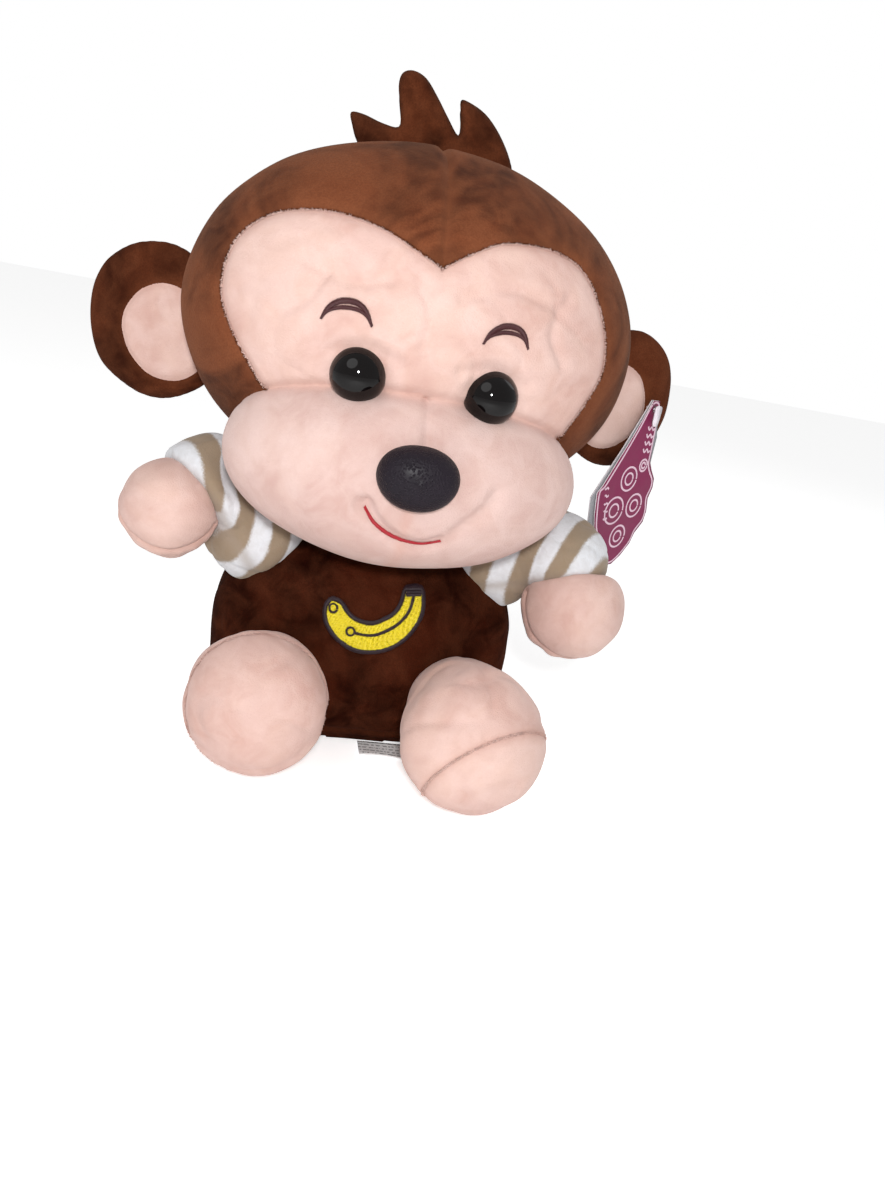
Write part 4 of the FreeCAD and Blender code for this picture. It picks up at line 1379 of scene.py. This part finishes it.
def makeCareLabel():
    # one leaf of satin tape, laid on the floor and lifting a little towards the hem
    low, high = boxOf("care_label")
    sizes = {"across": 16, "down": 10, "thick": 0.3, "lift": 0.25, "ripple": 0.35, "rise": 0.5}
    points, faces = [], []
    for v in np.arange(sizes["down"] + 1) / sizes["down"]:
        for u in np.arange(sizes["across"] + 1) / sizes["across"]:
            wave = sizes["ripple"] * math.sin(u * 7 + v * 2) * (1 - v) + sizes["rise"] * (1 - v) ** 2
            points.append((low[0] + u * (high[0] - low[0]), high[1] + (low[1] - high[1]) * (1 - v),
                           low[2] + sizes["lift"] + wave))
    row = sizes["across"] + 1
    for j in range(sizes["down"]):
        for a in range(j * row, j * row + sizes["across"]):
            faces.append((a, a + 1, a + row + 1, a + row))
    piece = meshPiece("care_label_tape", points, faces, labelSatin)
    thick = piece.modifiers.new("tape", "SOLIDIFY")
    thick.thickness = sizes["thick"] * mm
    thick.offset = 0
    dress(piece, "care_label", "label_satin", "care_label")


tagTurn = math.radians(33.0)
tagRight = np.array((math.cos(tagTurn), math.sin(tagTurn), 0))
tagAhead = np.array((math.sin(tagTurn), -math.cos(tagTurn), 0))
tagHole = pivot("hang_tag_swing")
tagSizes = {"thick": 0.5, "line": 0.85, "raise": 0.06, "gap": 0.9, "bend": 0.9, "hole": 1.3, "grid": 2.5}
frontOutline = [(-2.2, 3.6), (2.2, 3.6), (3.4, -2), (3.8, -8), (4.4, -15), (5.2, -22), (8, -26), (11.6, -30),
                (12.2, -34), (10.8, -39), (12.4, -45), (12, -50), (8, -55), (6.5, -60), (2, -65.6),
                (-3, -69.4), (-7, -69.6), (-9.5, -65.5), (-15, -60), (-18.5, -57.2), (-22, -52.6),
                (-24.5, -46), (-26.6, -36), (-24, -33), (-19, -24.5), (-13.6, -16), (-7, -5)]
backOutline = [(-2.2, 3.6), (2.6, 3.6), (7.4, -12), (7.6, -45), (-25.4, -54), (-29, -38), (-15, -17)]


def tagPlace(u, v, off):
    bend = tagSizes["bend"] * math.sin(math.pi * min(1, max(0, -v / 70)))
    return tagHole + tagRight * u + np.array((0, 0, v)) + tagAhead * (off + bend)


def faceAhead(mesh):
    turned = [f for f in mesh.faces if f.normal.dot(Vector(tagAhead)) < 0]
    bmesh.ops.reverse_faces(mesh, faces=turned)
    bmesh.ops.delete(mesh, geom=[v for v in mesh.verts if not v.link_faces], context="VERTS")


def makeCard(name, outline, off, material):
    # a card with a punched hole, filled with a grid so that it can bend
    rim, radius = np.array(outline, float), tagSizes["hole"]
    hole = [tuple(p) for p in circle((0, 0), radius, 13)[:-1]]
    closed = np.vstack([rim, rim[:1]])
    grid = np.array([(u, v) for u in np.arange(-30, 14, tagSizes["grid"])
                     for v in np.arange(-70, 4, tagSizes["grid"])])
    grid = grid[insideOutline(grid, rim) & (polylineDistance(grid, closed) > 0.9)
                & (np.hypot(grid[:, 0], grid[:, 1]) > radius + 0.8)]
    n, h = len(rim), len(hole)
    edges = [(i, (i + 1) % n) for i in range(n)] + [(n + i, n + (i + 1) % h) for i in range(h)]
    flat = [Vector(p) for p in list(rim) + hole + list(grid)]
    verts, _, faces, *_ = geometry.delaunay_2d_cdt(flat, edges, [], 1, 0.001)
    faces = [list(f)
             for f in faces if (sum((verts[i] for i in f), Vector((0, 0))) / len(f)).length > radius * 0.98]
    piece = meshPiece(name, [tagPlace(v[0], v[1], off) for v in verts], faces, material)
    editMesh(piece, faceAhead)
    piece.data.materials.append(cardEdge)
    wall = piece.modifiers.new("card", "SOLIDIFY")
    wall.thickness = tagSizes["thick"] * mm
    wall.offset = -1
    wall.material_offset_rim = 1
    return piece


def tagStroke(lines, width, off):
    # raised flat strips along lines on the card
    points, faces = [], []
    for line in lines:
        spots, run, _ = evenly(line, 0.7)
        base = len(points)
        for p, r in zip(spots, run):
            across = np.array((-r[1], r[0])) * width
            points += [tagPlace(*(p - across / 2), off), tagPlace(*(p + across / 2), off)]
        faces += [(a, a + 1, a + 3, a + 2) for a in range(base, base + 2 * len(spots) - 2, 2)]
    return points, faces


def makeTag():
    half = tagSizes["thick"] / 2
    front = makeCard("tag_front_print", frontOutline, half, tagCardPrint)
    dress(front, "hang_tag", "tag_print", "tag_front_card")
    back = makeCard("tag_back_leaf", backOutline, half - tagSizes["gap"], tagCardBack)
    dress(back, "hang_tag", "tag_back", "tag_back_card")
    # a border, rings and little waves
    rim = np.array(frontOutline, float)
    middle = rim.mean(axis=0)
    inset = rim + (middle - rim) / np.linalg.norm(middle - rim, axis=1)[:, None] * 1.5
    lines = [smoothLine(inset, 4, closed=True)]
    for u, v, r in ((-7, -30, 5.2), (-12, -44, 6.0), (1.5, -42, 5.2), (-4.5, -56, 5.0), (1, -24, 2.6)):
        lines += [circle((u, v), r, 30), circle((u, v), r * 0.5, 30)]
    for k in range(4):
        u = np.linspace(-2, 3.2, 14)
        lines.append(np.column_stack([u, -8 - 3.2 * k + 0.8 * np.sin(u * 2.2)]))
    for k in range(5):
        u = np.linspace(-22 + k, -19 + k, 8)
        lines.append(np.column_stack([u, -34 - 3.4 * k + 0.5 * np.sin(u * 3)]))
    points, faces = tagStroke(lines, tagSizes["line"], half + tagSizes["raise"])
    marks = meshPiece("tag_print_lines", points, faces, tagInk)
    editMesh(marks, faceAhead)
    dress(marks, "hang_tag", "tag_print")


def makeFastener():
    # a clear pin through the ear with a small paddle in front of the tag
    sizes = {"length": 9, "rings": 7, "around": 10, "radius": 0.55, "endRadius": 0.4, "paddle": 0.35}
    across, ahead = earAxes("right")
    start = tagHole + ahead * 2.5
    rings, around = sizes["rings"], sizes["around"]
    points = []
    for j, s in enumerate(np.linspace(0, sizes["length"], rings)):
        radius = sizes["radius"] if 0 < j < rings - 1 else sizes["endRadius"]
        for k in range(around):
            turn = 2 * math.pi * k / around
            side = across * math.cos(turn) + np.array((0, 0, 1)) * math.sin(turn)
            points.append(start - ahead * s + side * radius)
    base = len(points)
    faces = tubeQuads(rings, around) + [list(range(around - 1, -1, -1)), list(range(base - around, base))]
    rim = smoothLine([(-1.9, 1.2), (0, 1.9), (1.9, 1.2), (2, -2), (1.6, -6), (0, -6.9), (-1.6, -6),
                      (-2, -2)],
                     3, True)[:-1]
    for off in (-sizes["paddle"], sizes["paddle"]):
        points += [start + tagRight * u + np.array((0, 0, v)) + tagAhead * off for u, v in rim]
    n = len(rim)
    faces += [[base + i for i in range(n)], [base + n + i for i in reversed(range(n))]]
    faces += tubeQuads(2, n, base)
    piece = meshPiece("tag_fastener_clear", points, faces, clearPlastic)
    editMesh(piece, faceOutwards)
    dress(piece, "ear_right", "fastener_plastic", "tag_fastener")


# Floor, light and camera

def makeStage():
    look = {"floor": (0.93, 0.93, 0.93), "half": 2500, "glow": 0.26, "seenGlow": 0.22}
    corners = [(x * look["half"], y * look["half"], -0.05) for x, y in ((-1, -1), (1, -1), (1, 1), (-1, 1))]
    floor = meshPiece("floor_plane", corners, [(0, 1, 2, 3)], None)
    paleFloor = plainMaterial("paleFloor", look["floor"], 0.9, 0.02, 30.0)
    tree = paleFloor.node_tree
    shader = tree.nodes["Principled BSDF"]
    setShader(shader, emission=(1.0, 1.0, 1.0))
    direct = tree.nodes.new("ShaderNodeLightPath").outputs["Is Camera Ray"]
    extra = mathNode(tree, "MULTIPLY", direct, look["seenGlow"])
    tree.links.new(mathNode(tree, "ADD", extra, look["glow"]), shader.inputs["Emission Strength"])
    floor.data.materials.append(paleFloor)
    world = bpy.data.worlds.new("studio")
    bpy.context.scene.world = world
    world.use_nodes = True
    tree = world.node_tree
    soft, backdrop = tree.nodes["Background"], tree.nodes.new("ShaderNodeBackground")
    for node, name in ((soft, "world"), (backdrop, "backdrop")):
        node.inputs["Color"].default_value = (1.0, 1.0, 1.0, 1.0)
        node.inputs["Strength"].default_value = lightSizes[name]
    seen, mixed = tree.nodes.new("ShaderNodeLightPath"), tree.nodes.new("ShaderNodeMixShader")
    tree.links.new(seen.outputs["Is Camera Ray"], mixed.inputs["Fac"])
    tree.links.new(soft.outputs[0], mixed.inputs[1])
    tree.links.new(backdrop.outputs[0], mixed.inputs[2])
    tree.links.new(mixed.outputs[0], tree.nodes["World Output"].inputs["Surface"])


cameraSizes = {"place": (-44.56, -348.51, 178.32), "azimuth": -0.2135, "elevation": 0.329, "roll": 0.195,
               "lens": 27.061, "sensor": 36.0}
lightSizes = {"world": 0.48, "backdrop": 1.0, "flash": 1.6, "key": 2.0, "rim": 1.1}


def makeCamera():
    az, el, roll = (cameraSizes[k] for k in ("azimuth", "elevation", "roll"))
    back = Vector((math.sin(az) * math.cos(el), -math.cos(az) * math.cos(el), math.sin(el)))
    right = (-back).cross(Vector((0, 0, 1))).normalized()
    up = right.cross(-back)
    x = right * math.cos(roll) + up * math.sin(roll)
    y = up * math.cos(roll) - right * math.sin(roll)
    data = bpy.data.cameras.new("frontCamera")
    data.sensor_width = cameraSizes["sensor"]
    data.lens = cameraSizes["lens"]
    data.clip_start = 0.01
    camera = bpy.data.objects.new("frontCamera", data)
    turn = Matrix((x, y, back)).transposed().to_4x4()
    camera.matrix_world = Matrix.Translation(Vector(cameraSizes["place"]) * mm) @ turn
    bpy.context.scene.collection.objects.link(camera)
    bpy.context.scene.camera = camera
    return x, y, back


def addLight(name, place, size):
    data = bpy.data.lights.new(name, "AREA")
    data.shape = "DISK"
    data.size = size
    data.energy = lightSizes[name]
    lamp = bpy.data.objects.new(name, data)
    aim = (Vector((0.0, -0.01, 0.12)) - Vector(place)).to_track_quat("-Z", "Y")
    lamp.matrix_world = Matrix.Translation(Vector(place)) @ aim.to_matrix().to_4x4()
    bpy.context.scene.collection.objects.link(lamp)


makeStage()
makeCareLabel()
makeTag()
makeFastener()
right, up, back = makeCamera()
addLight("flash", Vector(cameraSizes["place"]) * mm + up * 0.05 + right * 0.03 + back * 0.15, 0.05)
addLight("key", (-0.5, -0.55, 0.8), 0.7)
addLight("rim", (0.6, 0.3, 0.7), 0.6)
bpy.context.scene.view_settings.view_transform = "Standard"
print("stage, light and camera set")
